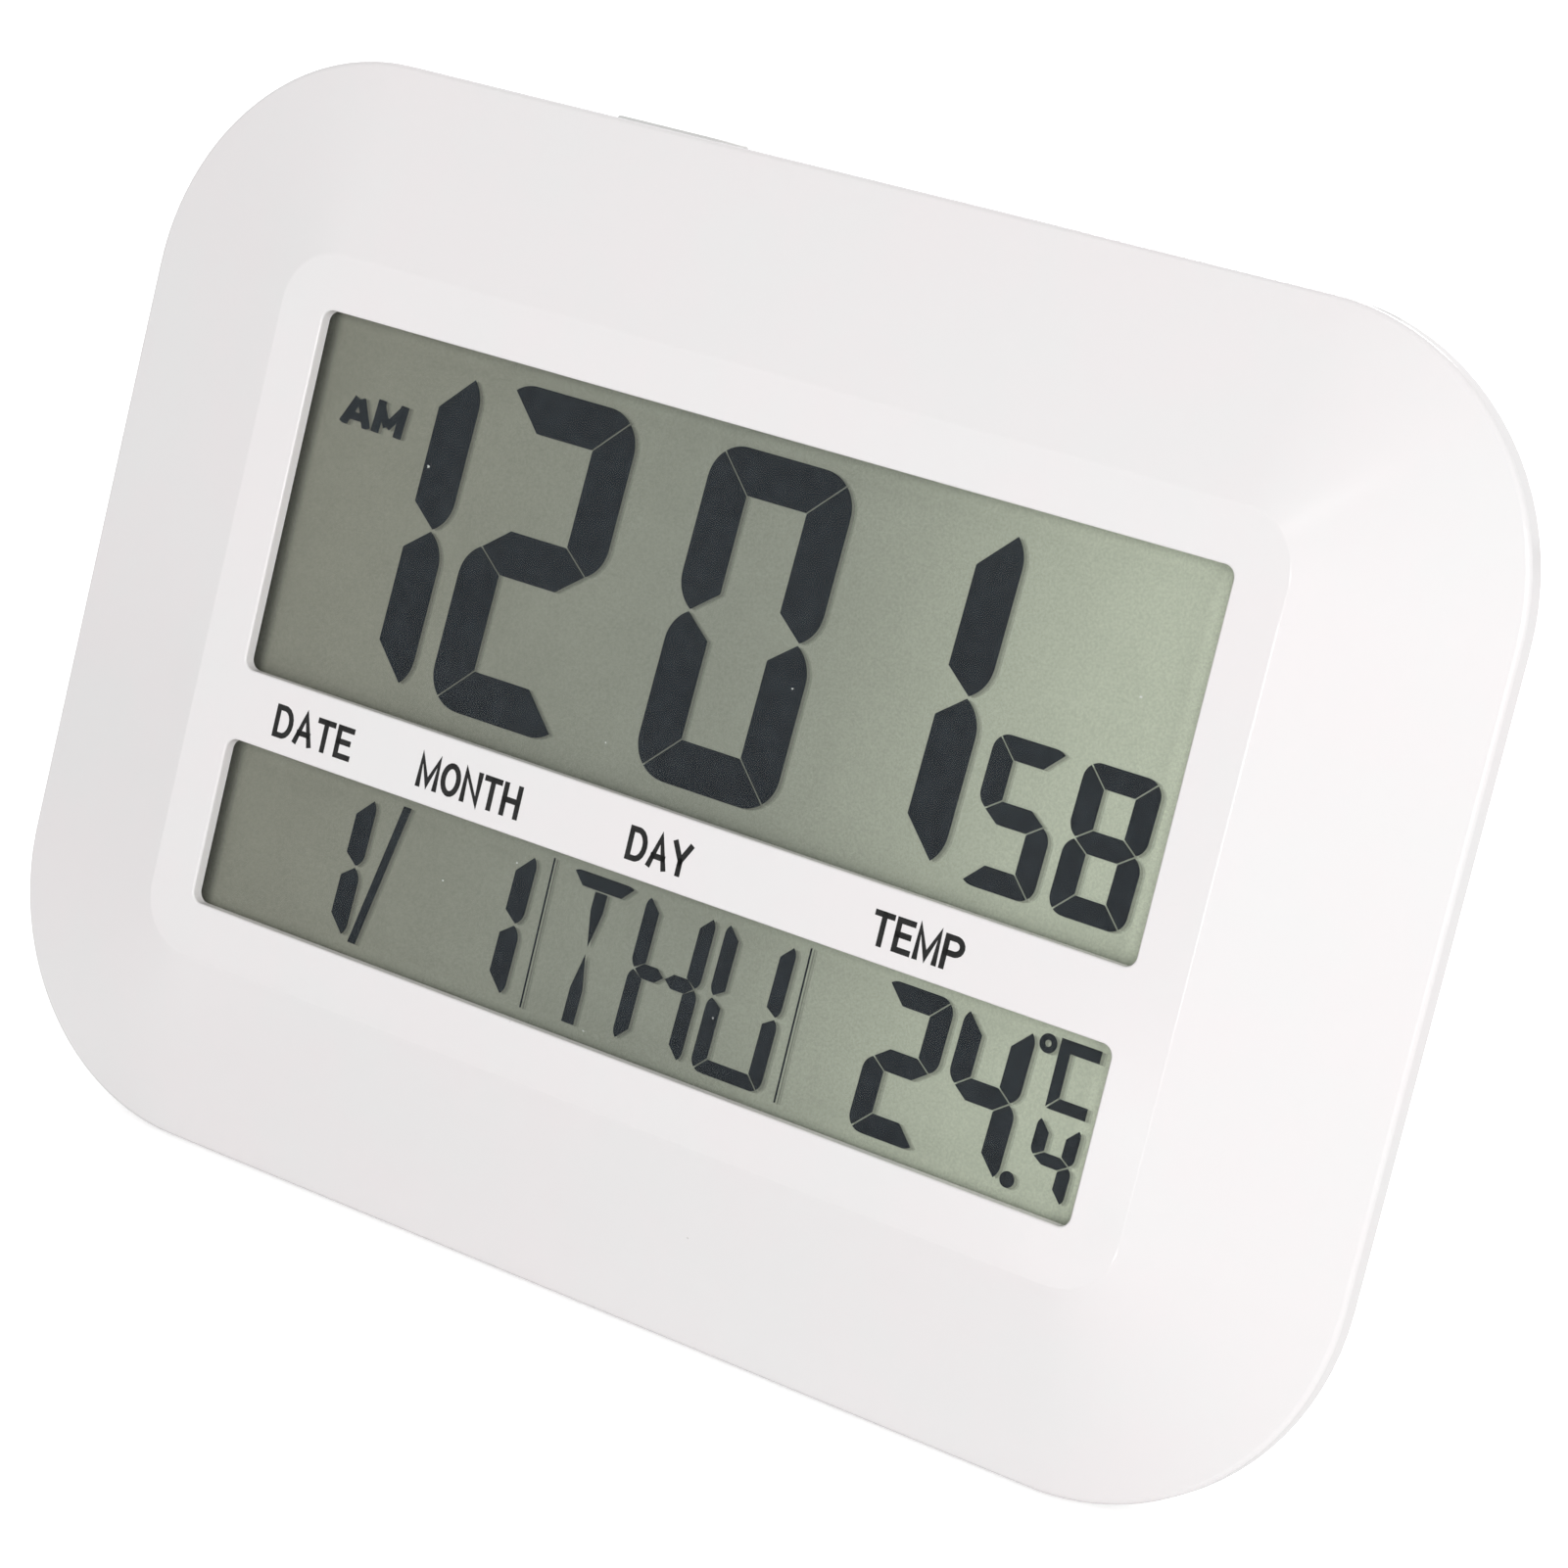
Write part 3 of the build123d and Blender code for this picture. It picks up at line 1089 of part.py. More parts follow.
def make_snooze_plunger():
    """Plunger of the snooze switch."""
    return upright_rod(
        SNOOZE_X, SNOOZE_Y, PLUNGER_RADIUS, SNOOZE_STEM_BOTTOM - PLUNGER_LENGTH, SNOOZE_STEM_BOTTOM
    )


def make_snooze_switch():
    """Body of the snooze bar's push switch, on its own small board."""
    half = SWITCH_SIZE / 2
    top = SNOOZE_SWITCH_BOTTOM + SWITCH_HEIGHT
    body = block(
        SNOOZE_X - half, SNOOZE_X + half, SNOOZE_Y - half, SNOOZE_Y + half, SNOOZE_SWITCH_BOTTOM, top
    )
    bore = upright_rod(
        SNOOZE_X, SNOOZE_Y, PLUNGER_RADIUS + PLUNGER_CLEARANCE, SNOOZE_SWITCH_BOTTOM + SWITCH_FLOOR, top
    )
    return body - bore


def make_snooze_board():
    """Small board that lies in the cover's two brackets."""
    return block(
        SNOOZE_X - SNOOZE_BOARD_LENGTH / 2,
        SNOOZE_X + SNOOZE_BOARD_LENGTH / 2,
        SNOOZE_Y - SNOOZE_BOARD_WIDTH / 2,
        SNOOZE_Y + SNOOZE_BOARD_WIDTH / 2,
        SNOOZE_SWITCH_BOTTOM - SNOOZE_BOARD_THICKNESS,
        SNOOZE_SWITCH_BOTTOM,
    )


def cell_levels():
    """Heights of the upper and the lower cell."""
    return (BAY_Z + CELL_PITCH / 2, BAY_Z - CELL_PITCH / 2)


def make_cell(level, nub_side):
    """One cell: round can with a nub at its positive end, on the right (1) or on the left (-1)."""
    bay_end = BAY_X + nub_side * (BAY_LENGTH / 2 - CONTACT_THICKNESS)
    body_end = bay_end - nub_side * CELL_NUB_LENGTH
    body_start = body_end - nub_side * CELL_BODY_LENGTH
    can = cross_rod(min(body_start, body_end), max(body_start, body_end), CELL_Y, level, CELL_RADIUS)
    can = fillet(can.edges().filter_by(GeomType.CIRCLE), 0.8)
    nub = cross_rod(min(body_end, bay_end), max(body_end, bay_end), CELL_Y, level, CELL_NUB_RADIUS)
    return can + nub


def make_spring(level, plate_side):
    """Cone shaped contact spring that stands on the plate at one end of the bay and presses on a cell."""
    height = SPRING_LENGTH - 2 * SPRING_WIRE
    taper = degrees(acos(height / sqrt(height**2 + (SPRING_RADIUS - SPRING_TIP_RADIUS) ** 2)))
    path = Helix(
        pitch=height / SPRING_TURNS,
        height=height,
        radius=SPRING_RADIUS,
        direction=(0, 0, 1),
        cone_angle=-taper,
    )
    section = Plane(origin=path @ 0, z_dir=path % 0) * Circle(SPRING_WIRE)
    coil = sweep(section, path=path, is_frenet=True)
    start = BAY_X + plate_side * (BAY_LENGTH / 2 - CONTACT_THICKNESS - SPRING_WIRE)
    return Pos(start, CELL_Y, level) * Rot(Y=-90 * plate_side) * coil


def make_springs():
    """Two contact springs, one at each end of the bay."""
    upper, lower = cell_levels()
    return together([make_spring(upper, -1), make_spring(lower, 1)])


def make_contact_plates():
    """Two contact plates with solder tabs at the bay's left end, and the link plate at its right end."""
    left = BAY_X - BAY_LENGTH / 2
    right = BAY_X + BAY_LENGTH / 2
    half = CONTACT_SIZE / 2
    plates = []
    for z in cell_levels():
        plate = block(left, left + CONTACT_THICKNESS, CELL_Y - half, CELL_Y + half, z - half, z + half)
        tab = block(
            left - BAY_WALL - TAB_LENGTH,
            left,
            CELL_Y - TAB_WIDTH / 2,
            CELL_Y + TAB_WIDTH / 2,
            z - CONTACT_THICKNESS / 2,
            z + CONTACT_THICKNESS / 2,
        )
        plates.append(plate + tab)
    upper, lower = cell_levels()
    plates.append(
        block(right - CONTACT_THICKNESS, right, CELL_Y - half, CELL_Y + half, lower - half, upper + half)
    )
    return together(plates)


def wire(points, radius):
    """Wire along straight runs with rounded bends."""
    path = FilletPolyline(*points, radius=WIRE_BEND)
    return sweep(Plane(origin=path @ 0, z_dir=path % 0) * Circle(radius), path=path)


def make_lead(level, landing_z):
    """Insulated battery lead from a solder tab to the edge of the main board."""
    tab_end = BAY_X - BAY_LENGTH / 2 - BAY_WALL - TAB_LENGTH
    bend_x = (tab_end + BOARD_RIGHT) / 2
    lead_y = BOARD_BACK + WIRE_RADIUS
    points = [(tab_end, CELL_Y, level), (bend_x, CELL_Y, level), (bend_x, lead_y, landing_z)]
    return wire(points + [(BOARD_RIGHT - WIRE_LANDING, lead_y, landing_z)], WIRE_RADIUS)


def make_sounder_leads():
    """Two thin wires from the sounder's disc to the lower edge of the main board."""
    spot_front = COVER_INNER - SOUNDER_WALL - DISC_SEAT - 1.5 * DISC_THICKNESS
    lead_y = BOARD_BACK + LEAD_WIRE_RADIUS
    bend_y = (spot_front + lead_y) / 2
    leads = []
    for side in (-1, 1):
        x = SOUNDER_X + side * DISC_RADIUS / 3
        points = [(x, spot_front, SOUNDER_Z), (x, bend_y, SOUNDER_Z)]
        points += [(x, lead_y, BOARD_BOTTOM - WIRE_LANDING), (x, lead_y, BOARD_BOTTOM + WIRE_LANDING / 2)]
        leads.append(wire(points, LEAD_WIRE_RADIUS))
    return together(leads)


def make_snooze_leads():
    """Two thin wires from the snooze board down to the upper edge of the main board."""
    board_foot = SNOOZE_SWITCH_BOTTOM - SNOOZE_BOARD_THICKNESS
    lead_y = BOARD_BACK + LEAD_WIRE_RADIUS
    leads = []
    for side in (-1, 1):
        x = SNOOZE_X + side * SWITCH_SIZE / 2
        points = [(x, SNOOZE_Y, board_foot), (x, SNOOZE_Y, BOARD_TOP + WIRE_BEND)]
        points += [(x, lead_y, BOARD_TOP - WIRE_BEND), (x, lead_y, BOARD_TOP - WIRE_LANDING)]
        leads.append(wire(points, LEAD_WIRE_RADIUS))
    return together(leads)


def make_door():
    """Battery door: flat lid that turns on two small pins at its lower edge, with thumb grooves above."""
    half_x = BAY_LENGTH / 2 + DOOR_LEDGE - DOOR_CLEARANCE
    bottom = BAY_Z - DOOR_HALF_HEIGHT
    top = BAY_Z + DOOR_HALF_HEIGHT
    lid = block(BAY_X - half_x, BAY_X + half_x, DOOR_FRONT, DOOR_BACK, DOOR_AXIS_Z, top)
    lid += cross_rod(BAY_X - half_x, BAY_X + half_x, DOOR_AXIS_Y, DOOR_AXIS_Z, DOOR_AXIS_Z - bottom)
    reach = half_x + DOOR_PIN_LENGTH
    lid += cross_rod(BAY_X - reach, BAY_X + reach, DOOR_AXIS_Y, DOOR_AXIS_Z, DOOR_PIN_RADIUS)
    for index in range(4):
        z = top - DOOR_CORNER - index * 1.6
        groove = Pos(BAY_X, z) * Rectangle(LATCH_WIDTH, 0.7)
        lid -= slab(groove, DOOR_BACK - 0.5, DOOR_BACK)
    return lid


def turned_about_hinge(shape, angle):
    """Shape turned about the leg's hinge; a positive angle swings the foot away from the back."""
    return Pos(0, HINGE_Y, HINGE_Z) * Rot(X=angle) * Pos(0, -HINGE_Y, -HINGE_Z) * shape


def make_open_leg_blank():
    """Leg at its open angle, still too long at the heel and at the foot, hollow on its inner side."""
    reach = LEG_LENGTH + LEG_THICKNESS
    top = HINGE_Z + LEG_HEEL
    bottom = HINGE_Z - reach
    outline = [
        (-LEG_WIDTH / 2, top),
        (LEG_WIDTH / 2, top),
        (LEG_WIDTH / 2, HINGE_Z - LEG_HEEL),
        (LEG_FOOT_WIDTH / 2, bottom),
        (-LEG_FOOT_WIDTH / 2, bottom),
        (-LEG_WIDTH / 2, HINGE_Z - LEG_HEEL),
    ]
    front = HINGE_Y - LEG_THICKNESS / 2
    back = HINGE_Y + LEG_THICKNESS / 2
    leg = slab(outline_face(outline), front, back)
    long_edges = [edge for edge in edges_at_depth(leg, back) if abs(edge.center().X) > LEG_FOOT_WIDTH / 4]
    leg = fillet(long_edges, LEG_BORDER / 3)
    pocket_top = HINGE_Z - LEG_HEEL - LEG_BORDER
    pocket_foot = HINGE_Z - LEG_LENGTH + PAD_THICKNESS + 2 * LEG_BORDER
    bay_width = (LEG_FOOT_WIDTH - 4 * LEG_BORDER) / 3
    for column in (-1, 0, 1):
        middle = (pocket_top + pocket_foot) / 2
        pocket = RectangleRounded(bay_width, pocket_top - pocket_foot, 2)
        x = column * (bay_width + LEG_BORDER)
        leg -= slab(Pos(x, middle) * pocket, front, back - LEG_SKIN)
    leg = turned_about_hinge(leg, LEG_OPEN_ANGLE)
    wide = LEG_WIDTH
    leg -= block(-wide, wide, -wide, RECESS_FLOOR_Y + STOP_GAP, HINGE_Z - wide, HINGE_Z + wide)
    for side in (-1, 1):
        near = side * (LEG_WIDTH / 2 - PIN_GRIP - PIN_END_GAP)
        far = side * LEG_WIDTH
        leg -= cross_rod(min(near, far), max(near, far), HINGE_Y, HINGE_Z, PIN_RADIUS + PIN_PRESS_CLEARANCE)
    return leg


def make_pins():
    """Two steel pins, pressed into the leg and turning in the cover."""
    pins = []
    for side in (-1, 1):
        near = side * (LEG_WIDTH / 2 - PIN_GRIP)
        far = side * (RECESS_HALF_WIDTH + PIN_BEARING)
        pins.append(cross_rod(min(near, far), max(near, far), HINGE_Y, HINGE_Z, PIN_RADIUS))
    return together(pins)


def make_hanger_plate():
    """Steel keyhole plate, flush with the back of the cover."""
    plate = Pos(0, HANGER_Z) * RectangleRounded(HANGER_WIDTH, HANGER_HEIGHT, HANGER_CORNER)
    head_z = HANGER_Z - KEYHOLE_DROP
    plate -= Pos(0, head_z) * Circle(KEYHOLE_RADIUS)
    plate -= Pos(0, head_z + KEYHOLE_RISE / 2) * Rectangle(2 * KEYHOLE_NECK_RADIUS, KEYHOLE_RISE)
    plate -= Pos(0, head_z + KEYHOLE_RISE) * Circle(KEYHOLE_NECK_RADIUS)
    for x, z in hanger_screw_places():
        plate -= Pos(x, z) * Circle(SMALL_SCREW_RADIUS + 2 * SCREW_CLEARANCE)
    return slab(plate, CASE_DEPTH - HANGER_THICKNESS, CASE_DEPTH)


def make_sounder_case():
    """Black cup of the sounder, its port against the cover's grille."""
    front = COVER_INNER - SOUNDER_HEIGHT
    cup = rod(SOUNDER_X, SOUNDER_Z, SOUNDER_RADIUS, front, COVER_INNER)
    port_front = COVER_INNER - SOUNDER_WALL
    cup -= rod(SOUNDER_X, SOUNDER_Z, SOUNDER_RADIUS - SOUNDER_WALL, front, port_front)
    disc_seat = rod(SOUNDER_X, SOUNDER_Z, SOUNDER_RADIUS, port_front - DISC_SEAT, port_front)
    disc_seat -= rod(SOUNDER_X, SOUNDER_Z, DISC_RADIUS - DISC_SEAT, front, COVER_INNER)
    grille_reach = GRILLE_RING_STEP * (GRILLE_RINGS - 1) + SOUNDER_PORT_RADIUS / 2
    return cup + disc_seat - rod(SOUNDER_X, SOUNDER_Z, grille_reach, front, COVER_INNER)


def make_sounder_disc():
    """Brass disc with its ceramic spot, resting on the cup's step."""
    back = COVER_INNER - SOUNDER_WALL - DISC_SEAT
    disc = rod(SOUNDER_X, SOUNDER_Z, DISC_RADIUS, back - DISC_THICKNESS, back)
    spot_front = back - DISC_THICKNESS - DISC_THICKNESS / 2
    return disc + rod(SOUNDER_X, SOUNDER_Z, DISC_RADIUS * 0.6, spot_front, back - DISC_THICKNESS)


def case_pieces():
    """Pieces of the case and the display, by node name."""
    return {
        "front_shell": make_front_shell(),
        "rear_cover": make_rear_cover(),
        "case_screws": make_screws(case_screw_places(), SEAT_BACK, CASE_SCREW),
        "hanger_plate": make_hanger_plate(),
        "hanger_screws": make_screws(hanger_screw_places(), CASE_DEPTH, SMALL_SCREW),
        "lcd_gasket": make_gasket(),
        "front_polariser": make_front_polariser(),
        "lcd_front_glass": make_front_glass(),
        "lcd_edge_seal": make_edge_seal(),
        "lcd_segments": make_segments(),
        "lcd_rear_glass": make_rear_glass(),
        "rear_reflector": make_reflector(),
        "lcd_carrier": make_carrier(),
        "carrier_screws": make_screws(carrier_screw_places(), CARRIER_BACK, SMALL_SCREW),
        "zebra_strip": make_strip(),
    }


def electric_pieces():
    """Board, sounder, switches, cells and their contacts, by node name."""
    upper, lower = cell_levels()
    return {
        "main_board": make_board(),
        "board_screws": make_screws(board_screw_places(), BOARD_BACK, SMALL_SCREW),
        "chip_blob": make_chip(),
        "crystal_can": make_crystal(),
        "capacitors": make_capacitors(),
        "thermistor": make_thermistor(),
        "key_switches": make_key_switches(),
        "alarm_switch_body": make_slider_body(),
        "snooze_board": make_snooze_board(),
        "snooze_switch": make_snooze_switch(),
        "sounder_case": make_sounder_case(),
        "sounder_disc": make_sounder_disc(),
        "cell_upper": make_cell(upper, 1),
        "cell_lower": make_cell(lower, -1),
        "contact_springs": make_springs(),
        "contact_plates": make_contact_plates(),
        "lead_negative": make_lead(upper, BAY_Z + CELL_PITCH),
        "lead_positive": make_lead(lower, BAY_Z + CELL_PITCH / 3),
        "sounder_leads": make_sounder_leads(),
        "snooze_leads": make_snooze_leads(),
    }


def moving_pieces():
    """Keys, slider, snooze bar, door and hinge pins, by node name."""
    pieces = {}
    for name, (x, z) in zip(("mode", "set", "up", "down"), key_places()):
        pieces["key_" + name] = make_key(x, z)
        pieces["plunger_" + name] = make_key_plunger(x, z)
    pieces["alarm_slider"] = make_slider()
    pieces["snooze_bar"] = make_snooze_bar()
    pieces["plunger_snooze"] = make_snooze_plunger()
    pieces["battery_door"] = make_door()
    pieces["stand_pins"] = make_pins()
    return pieces


def make_leg_and_pad(raised):
    """Leg and its rubber sole, both cut level with the table once the clock has been raised."""
    blank = moved(make_open_leg_blank(), raised)
    wide = LEG_WIDTH
    deep = LEG_LENGTH + CASE_DEPTH
    half = LEG_FOOT_WIDTH / 2 - PAD_INSET
    leg = blank - block(-wide, wide, -deep, deep, -deep, PAD_THICKNESS)
    return leg, blank & block(-half, half, -deep, deep, 0, PAD_THICKNESS)


def stand_on_table(pieces):
    """Leans every piece back and sets the clock on the table, centred over the origin."""
    raised = Pos(0, 0, -TABLE_LEVEL) * Rot(X=-LEAN)
    standing = {name: moved(piece, raised) for name, piece in pieces.items()}
    standing["stand_leg"], standing["stand_pad"] = make_leg_and_pad(raised)
    box = together(standing.values()).bounding_box()
    middle = Pos(0, -(box.min.Y + box.max.Y) / 2, 0)
    return {name: moved(piece, middle) for name, piece in standing.items()}


def main():
    os.makedirs("parts", exist_ok=True)
    pieces = {**case_pieces(), **electric_pieces(), **moving_pieces()}
    for name, piece in stand_on_table(pieces).items():
        export_step(piece, f"parts/{name}.step")


main()
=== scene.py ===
"""White digital alarm clock on its fold-out leg, dressed for the camera.

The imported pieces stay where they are. Each sub-assembly has a class that gives its pieces their
finish and adds what is too fine for the solids, such as printed words and the shadow that the
figures throw on the display's ground. Lengths are in metres, angles in degrees.
"""

import json
import logging
import math
from dataclasses import dataclass, field, replace
from enum import Enum
from functools import reduce

import bpy
from mathutils import Matrix, Vector

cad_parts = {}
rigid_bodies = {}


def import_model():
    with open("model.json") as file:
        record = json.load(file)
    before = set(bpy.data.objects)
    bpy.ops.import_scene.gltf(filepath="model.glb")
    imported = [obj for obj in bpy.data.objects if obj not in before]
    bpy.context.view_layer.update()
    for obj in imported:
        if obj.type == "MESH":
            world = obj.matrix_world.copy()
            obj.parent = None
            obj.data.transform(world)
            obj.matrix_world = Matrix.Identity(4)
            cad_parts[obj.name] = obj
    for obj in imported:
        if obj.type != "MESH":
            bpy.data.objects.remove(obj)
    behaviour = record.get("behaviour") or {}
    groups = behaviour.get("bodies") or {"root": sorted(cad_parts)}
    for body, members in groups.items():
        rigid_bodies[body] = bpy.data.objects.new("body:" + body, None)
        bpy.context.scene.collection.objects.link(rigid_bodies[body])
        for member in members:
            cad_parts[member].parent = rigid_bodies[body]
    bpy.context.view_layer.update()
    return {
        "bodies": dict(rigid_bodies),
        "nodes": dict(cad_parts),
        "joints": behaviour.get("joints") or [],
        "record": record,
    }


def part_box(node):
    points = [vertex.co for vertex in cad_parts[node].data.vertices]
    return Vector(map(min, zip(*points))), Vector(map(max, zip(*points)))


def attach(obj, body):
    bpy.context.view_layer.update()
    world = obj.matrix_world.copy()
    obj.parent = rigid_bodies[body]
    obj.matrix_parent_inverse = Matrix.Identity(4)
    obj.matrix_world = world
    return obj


log = logging.getLogger("alarm_clock")

Colour = tuple[float, float, float]
Span = tuple[float, float]
Stroke = tuple[tuple[float, float], ...]
Socket = bpy.types.NodeSocket
NodeOutputs = bpy.types.NodeOutputs

LEAN = 15.0  # angle that the clock leans back by
HINGE_DEPTH = 0.0252  # from the flat front panel back to the leg's hinge
COVER_LEVEL = 0.028  # from the flat front panel back to the cover's outside
KEYS = ("mode", "set", "up", "down")
WHITE = (1.0, 1.0, 1.0)
NOISE_SPAN = (0.2, 0.8)  # range that nearly all of a noise's values fall in


class Side(Enum):
    """Which way lettering faces on the clock."""

    FRONT = "front"
    BACK = "back"


class Body(Enum):
    """Moving groups that an added piece can ride on."""

    CASE = "case"
    DOOR = "door"


def set_out(name: str, data: bpy.types.ID) -> bpy.types.Object:
    """Puts a new object in the scene.

    Args:
        name: Name of the object.
        data: Its mesh, lamp or camera.

    Returns:
        The new object.
    """
    thing = bpy.data.objects.new(name, data)
    bpy.context.scene.collection.objects.link(thing)
    return thing


def mesh_of(name: str, points: list, faces: list) -> bpy.types.Mesh:
    """Makes a mesh.

    Args:
        name: Name of the mesh.
        points: Its points.
        faces: Its faces, each as numbers of points.

    Returns:
        The new mesh.
    """
    mesh = bpy.data.meshes.new(name)
    mesh.from_pydata(points, [], faces)
    mesh.update()
    return mesh


@dataclass(frozen=True)
class Placement:
    """Where the leaning clock stands: x to its right, y from front to back, z up its face."""

    matrix: Matrix

    @classmethod
    def from_frame(cls, frame: dict) -> "Placement":
        """Works the placement out from the leg's hinge.


        Returns:
            The placement of the clock on the table.
        """
        joints = {joint["name"]: joint for joint in frame["record"]["behaviour"]["joints"]}
        hinge = Vector(joints["leg_hinge"]["pos_m"])
        turn = Matrix.Rotation(-math.radians(LEAN), 4, "X")
        return cls(Matrix.Translation(hinge - turn @ Vector((0.0, HINGE_DEPTH, 0.0))) @ turn)

    def point(self, x: float, y: float, z: float) -> Vector:
        """Point on the table for a point of the clock."""
        return self.matrix @ Vector((x, y, z))

    def direction(self, x: float, y: float, z: float) -> Vector:
        """Direction on the table for a direction of the clock."""
        return (self.matrix.to_3x3() @ Vector((x, y, z))).normalized()

    def centre_of(self, node: str) -> Vector:
        """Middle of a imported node, in the clock's own directions."""
        low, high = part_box(node)
        return self.matrix.inverted() @ ((low + high) / 2)


class NodeTree:
    """A node tree under construction, with short calls for what the finishes use."""

    def __init__(self, tree: bpy.types.NodeTree) -> None:
        """Takes the tree to build in."""
        self.tree = tree

    def ready(self, kind: str) -> bpy.types.Node:
        """The node of a type that Blender puts in a new tree."""
        return next(node for node in self.tree.nodes if node.type == kind)

    def add(self, kind: str, **inputs: object) -> bpy.types.Node:
        """Adds a node of a class and fills its inputs."""
        return self.fill(self.tree.nodes.new(kind), inputs)

    def fill(self, node: bpy.types.Node, inputs: dict[str, object]) -> bpy.types.Node:
        """Sets or links a node's inputs.

        Args:
            node: The node.
            inputs: Input names, with underscores for spaces, and a value or a socket for each.

        Returns:
            The same node.
        """
        for name, value in inputs.items():
            self.feed(node.inputs[name.replace("_", " ")], value)
        return node

    def feed(self, target: Socket, value: object) -> None:
        """Links a socket to an input, or sets a plain value on it.

        Args:
            target: The input.
            value: The socket or value.
        """
        if isinstance(value, bpy.types.NodeSocket):
            self.tree.links.new(value, target)
        elif isinstance(value, tuple) and len(value) == 3 and target.type == "RGBA":
            target.default_value = (*value, 1.0)
        else:
            target.default_value = value

    def worked(self, kind: str, operation: str, terms: tuple) -> bpy.types.Node:
        """Adds a node that works out an operation.

        Args:
            kind: Blender's class name of the node.
            operation: Blender's name of the operation.
            terms: Values or sockets, in the order of the node's inputs.

        Returns:
            The new node.
        """
        node = self.tree.nodes.new(kind)
        node.operation = operation
        for place, term in enumerate(terms):
            self.feed(node.inputs[place], term)
        return node

    def math(self, operation: str, *terms: object, clamp: bool = False) -> Socket:
        """Adds a Math node.

        Args:
            operation: Blender's name of the operation.
            terms: Values or sockets to work with.
            clamp: Whether the result is kept between 0 and 1.

        Returns:
            The result's socket.
        """
        node = self.worked("ShaderNodeMath", operation, terms)
        node.use_clamp = clamp
        return node.outputs[0]

    def dot(self, first: object, second: object) -> Socket:
        """Dot product of two vectors."""
        return self.worked("ShaderNodeVectorMath", "DOT_PRODUCT", (first, second)).outputs["Value"]

    def span(
        self, value: Socket, low: float, high: float, start: float = 0.0, end: float = 1.0
    ) -> Socket:
        """Maps a value from one range to another, softly and without running over.

        Args:
            value: Socket to map.
            low: Value that gives start.
            high: Value that gives end.
            start: Result at low.
            end: Result at high.

        Returns:
            The result's socket.
        """
        ends = {"From_Min": low, "From_Max": high, "To_Min": start, "To_Max": end}
        node = self.add("ShaderNodeMapRange", Value=value, **ends)
        node.interpolation_type = "SMOOTHSTEP"
        return node.outputs[0]

    def blend(self, factor: object, first: object, second: object, how: str = "MIX") -> Socket:
        """Mixes two colours.

        Args:
            factor: Share of the second colour.
            first: First colour or socket.
            second: Second colour or socket.
            how: Blender's name of the way of mixing.

        Returns:
            The mixed colour's socket.
        """
        node = self.tree.nodes.new("ShaderNodeMix")
        node.data_type = "RGBA"
        node.blend_type = how
        self.feed(node.inputs["Factor"], factor)
        self.feed(node.inputs[6], first)
        self.feed(node.inputs[7], second)
        return node.outputs[2]

    def grey(self, level: Socket) -> Socket:
        """Grey of a level.

        Args:
            level: The level's socket.

        Returns:
            The colour's socket.
        """
        node = self.tree.nodes.new("ShaderNodeCombineColor")
        for channel in node.inputs:
            self.feed(channel, level)
        return node.outputs[0]

    def noise(
        self, where: Socket, scale: object, detail: float = 2.0, roughness: float = 0.5
    ) -> Socket:
        """Noise with so many cells in a metre, about 0.5 in the mean."""
        values = {"Vector": where, "Scale": scale, "Detail": detail, "Roughness": roughness}
        return self.add("ShaderNodeTexNoise", **values).outputs[0]

    def place(self) -> Socket:
        """Coordinates on the piece at rest."""
        return self.tree.nodes.new("ShaderNodeTexCoord").outputs["Object"]

    def across(self) -> Socket:
        """Distance to the right of the clock's middle."""
        return self.add("ShaderNodeSeparateXYZ", Vector=self.place()).outputs[0]


class EffectTree(NodeTree):
    """A shared effect's node group under construction, and what it is given."""

    def __init__(self, name: str, inputs: dict[str, float]) -> None:
        """Starts the group.

        Args:
            name: Name of the group.
            inputs: Names of its inputs, with their usual values.
        """
        super().__init__(bpy.data.node_groups.new(name, "ShaderNodeTree"))
        for entry, value in inputs.items():
            self.socket(entry, "INPUT").default_value = value
        self.given = self.add("NodeGroupInput").outputs

    def socket(self, name: str, way: str) -> bpy.types.NodeTreeInterfaceSocket:
        """Adds a named float socket to the group."""
        return self.tree.interface.new_socket(name, in_out=way, socket_type="NodeSocketFloat")

    def finished(self, **outputs: Socket) -> bpy.types.NodeTree:
        """Gives the group its outputs.

        Args:
            outputs: Names of the outputs, with what feeds each.

        Returns:
            The finished group.
        """
        for name in outputs:
            self.socket(name, "OUTPUT")
        self.fill(self.add("NodeGroupOutput"), outputs)
        return self.tree


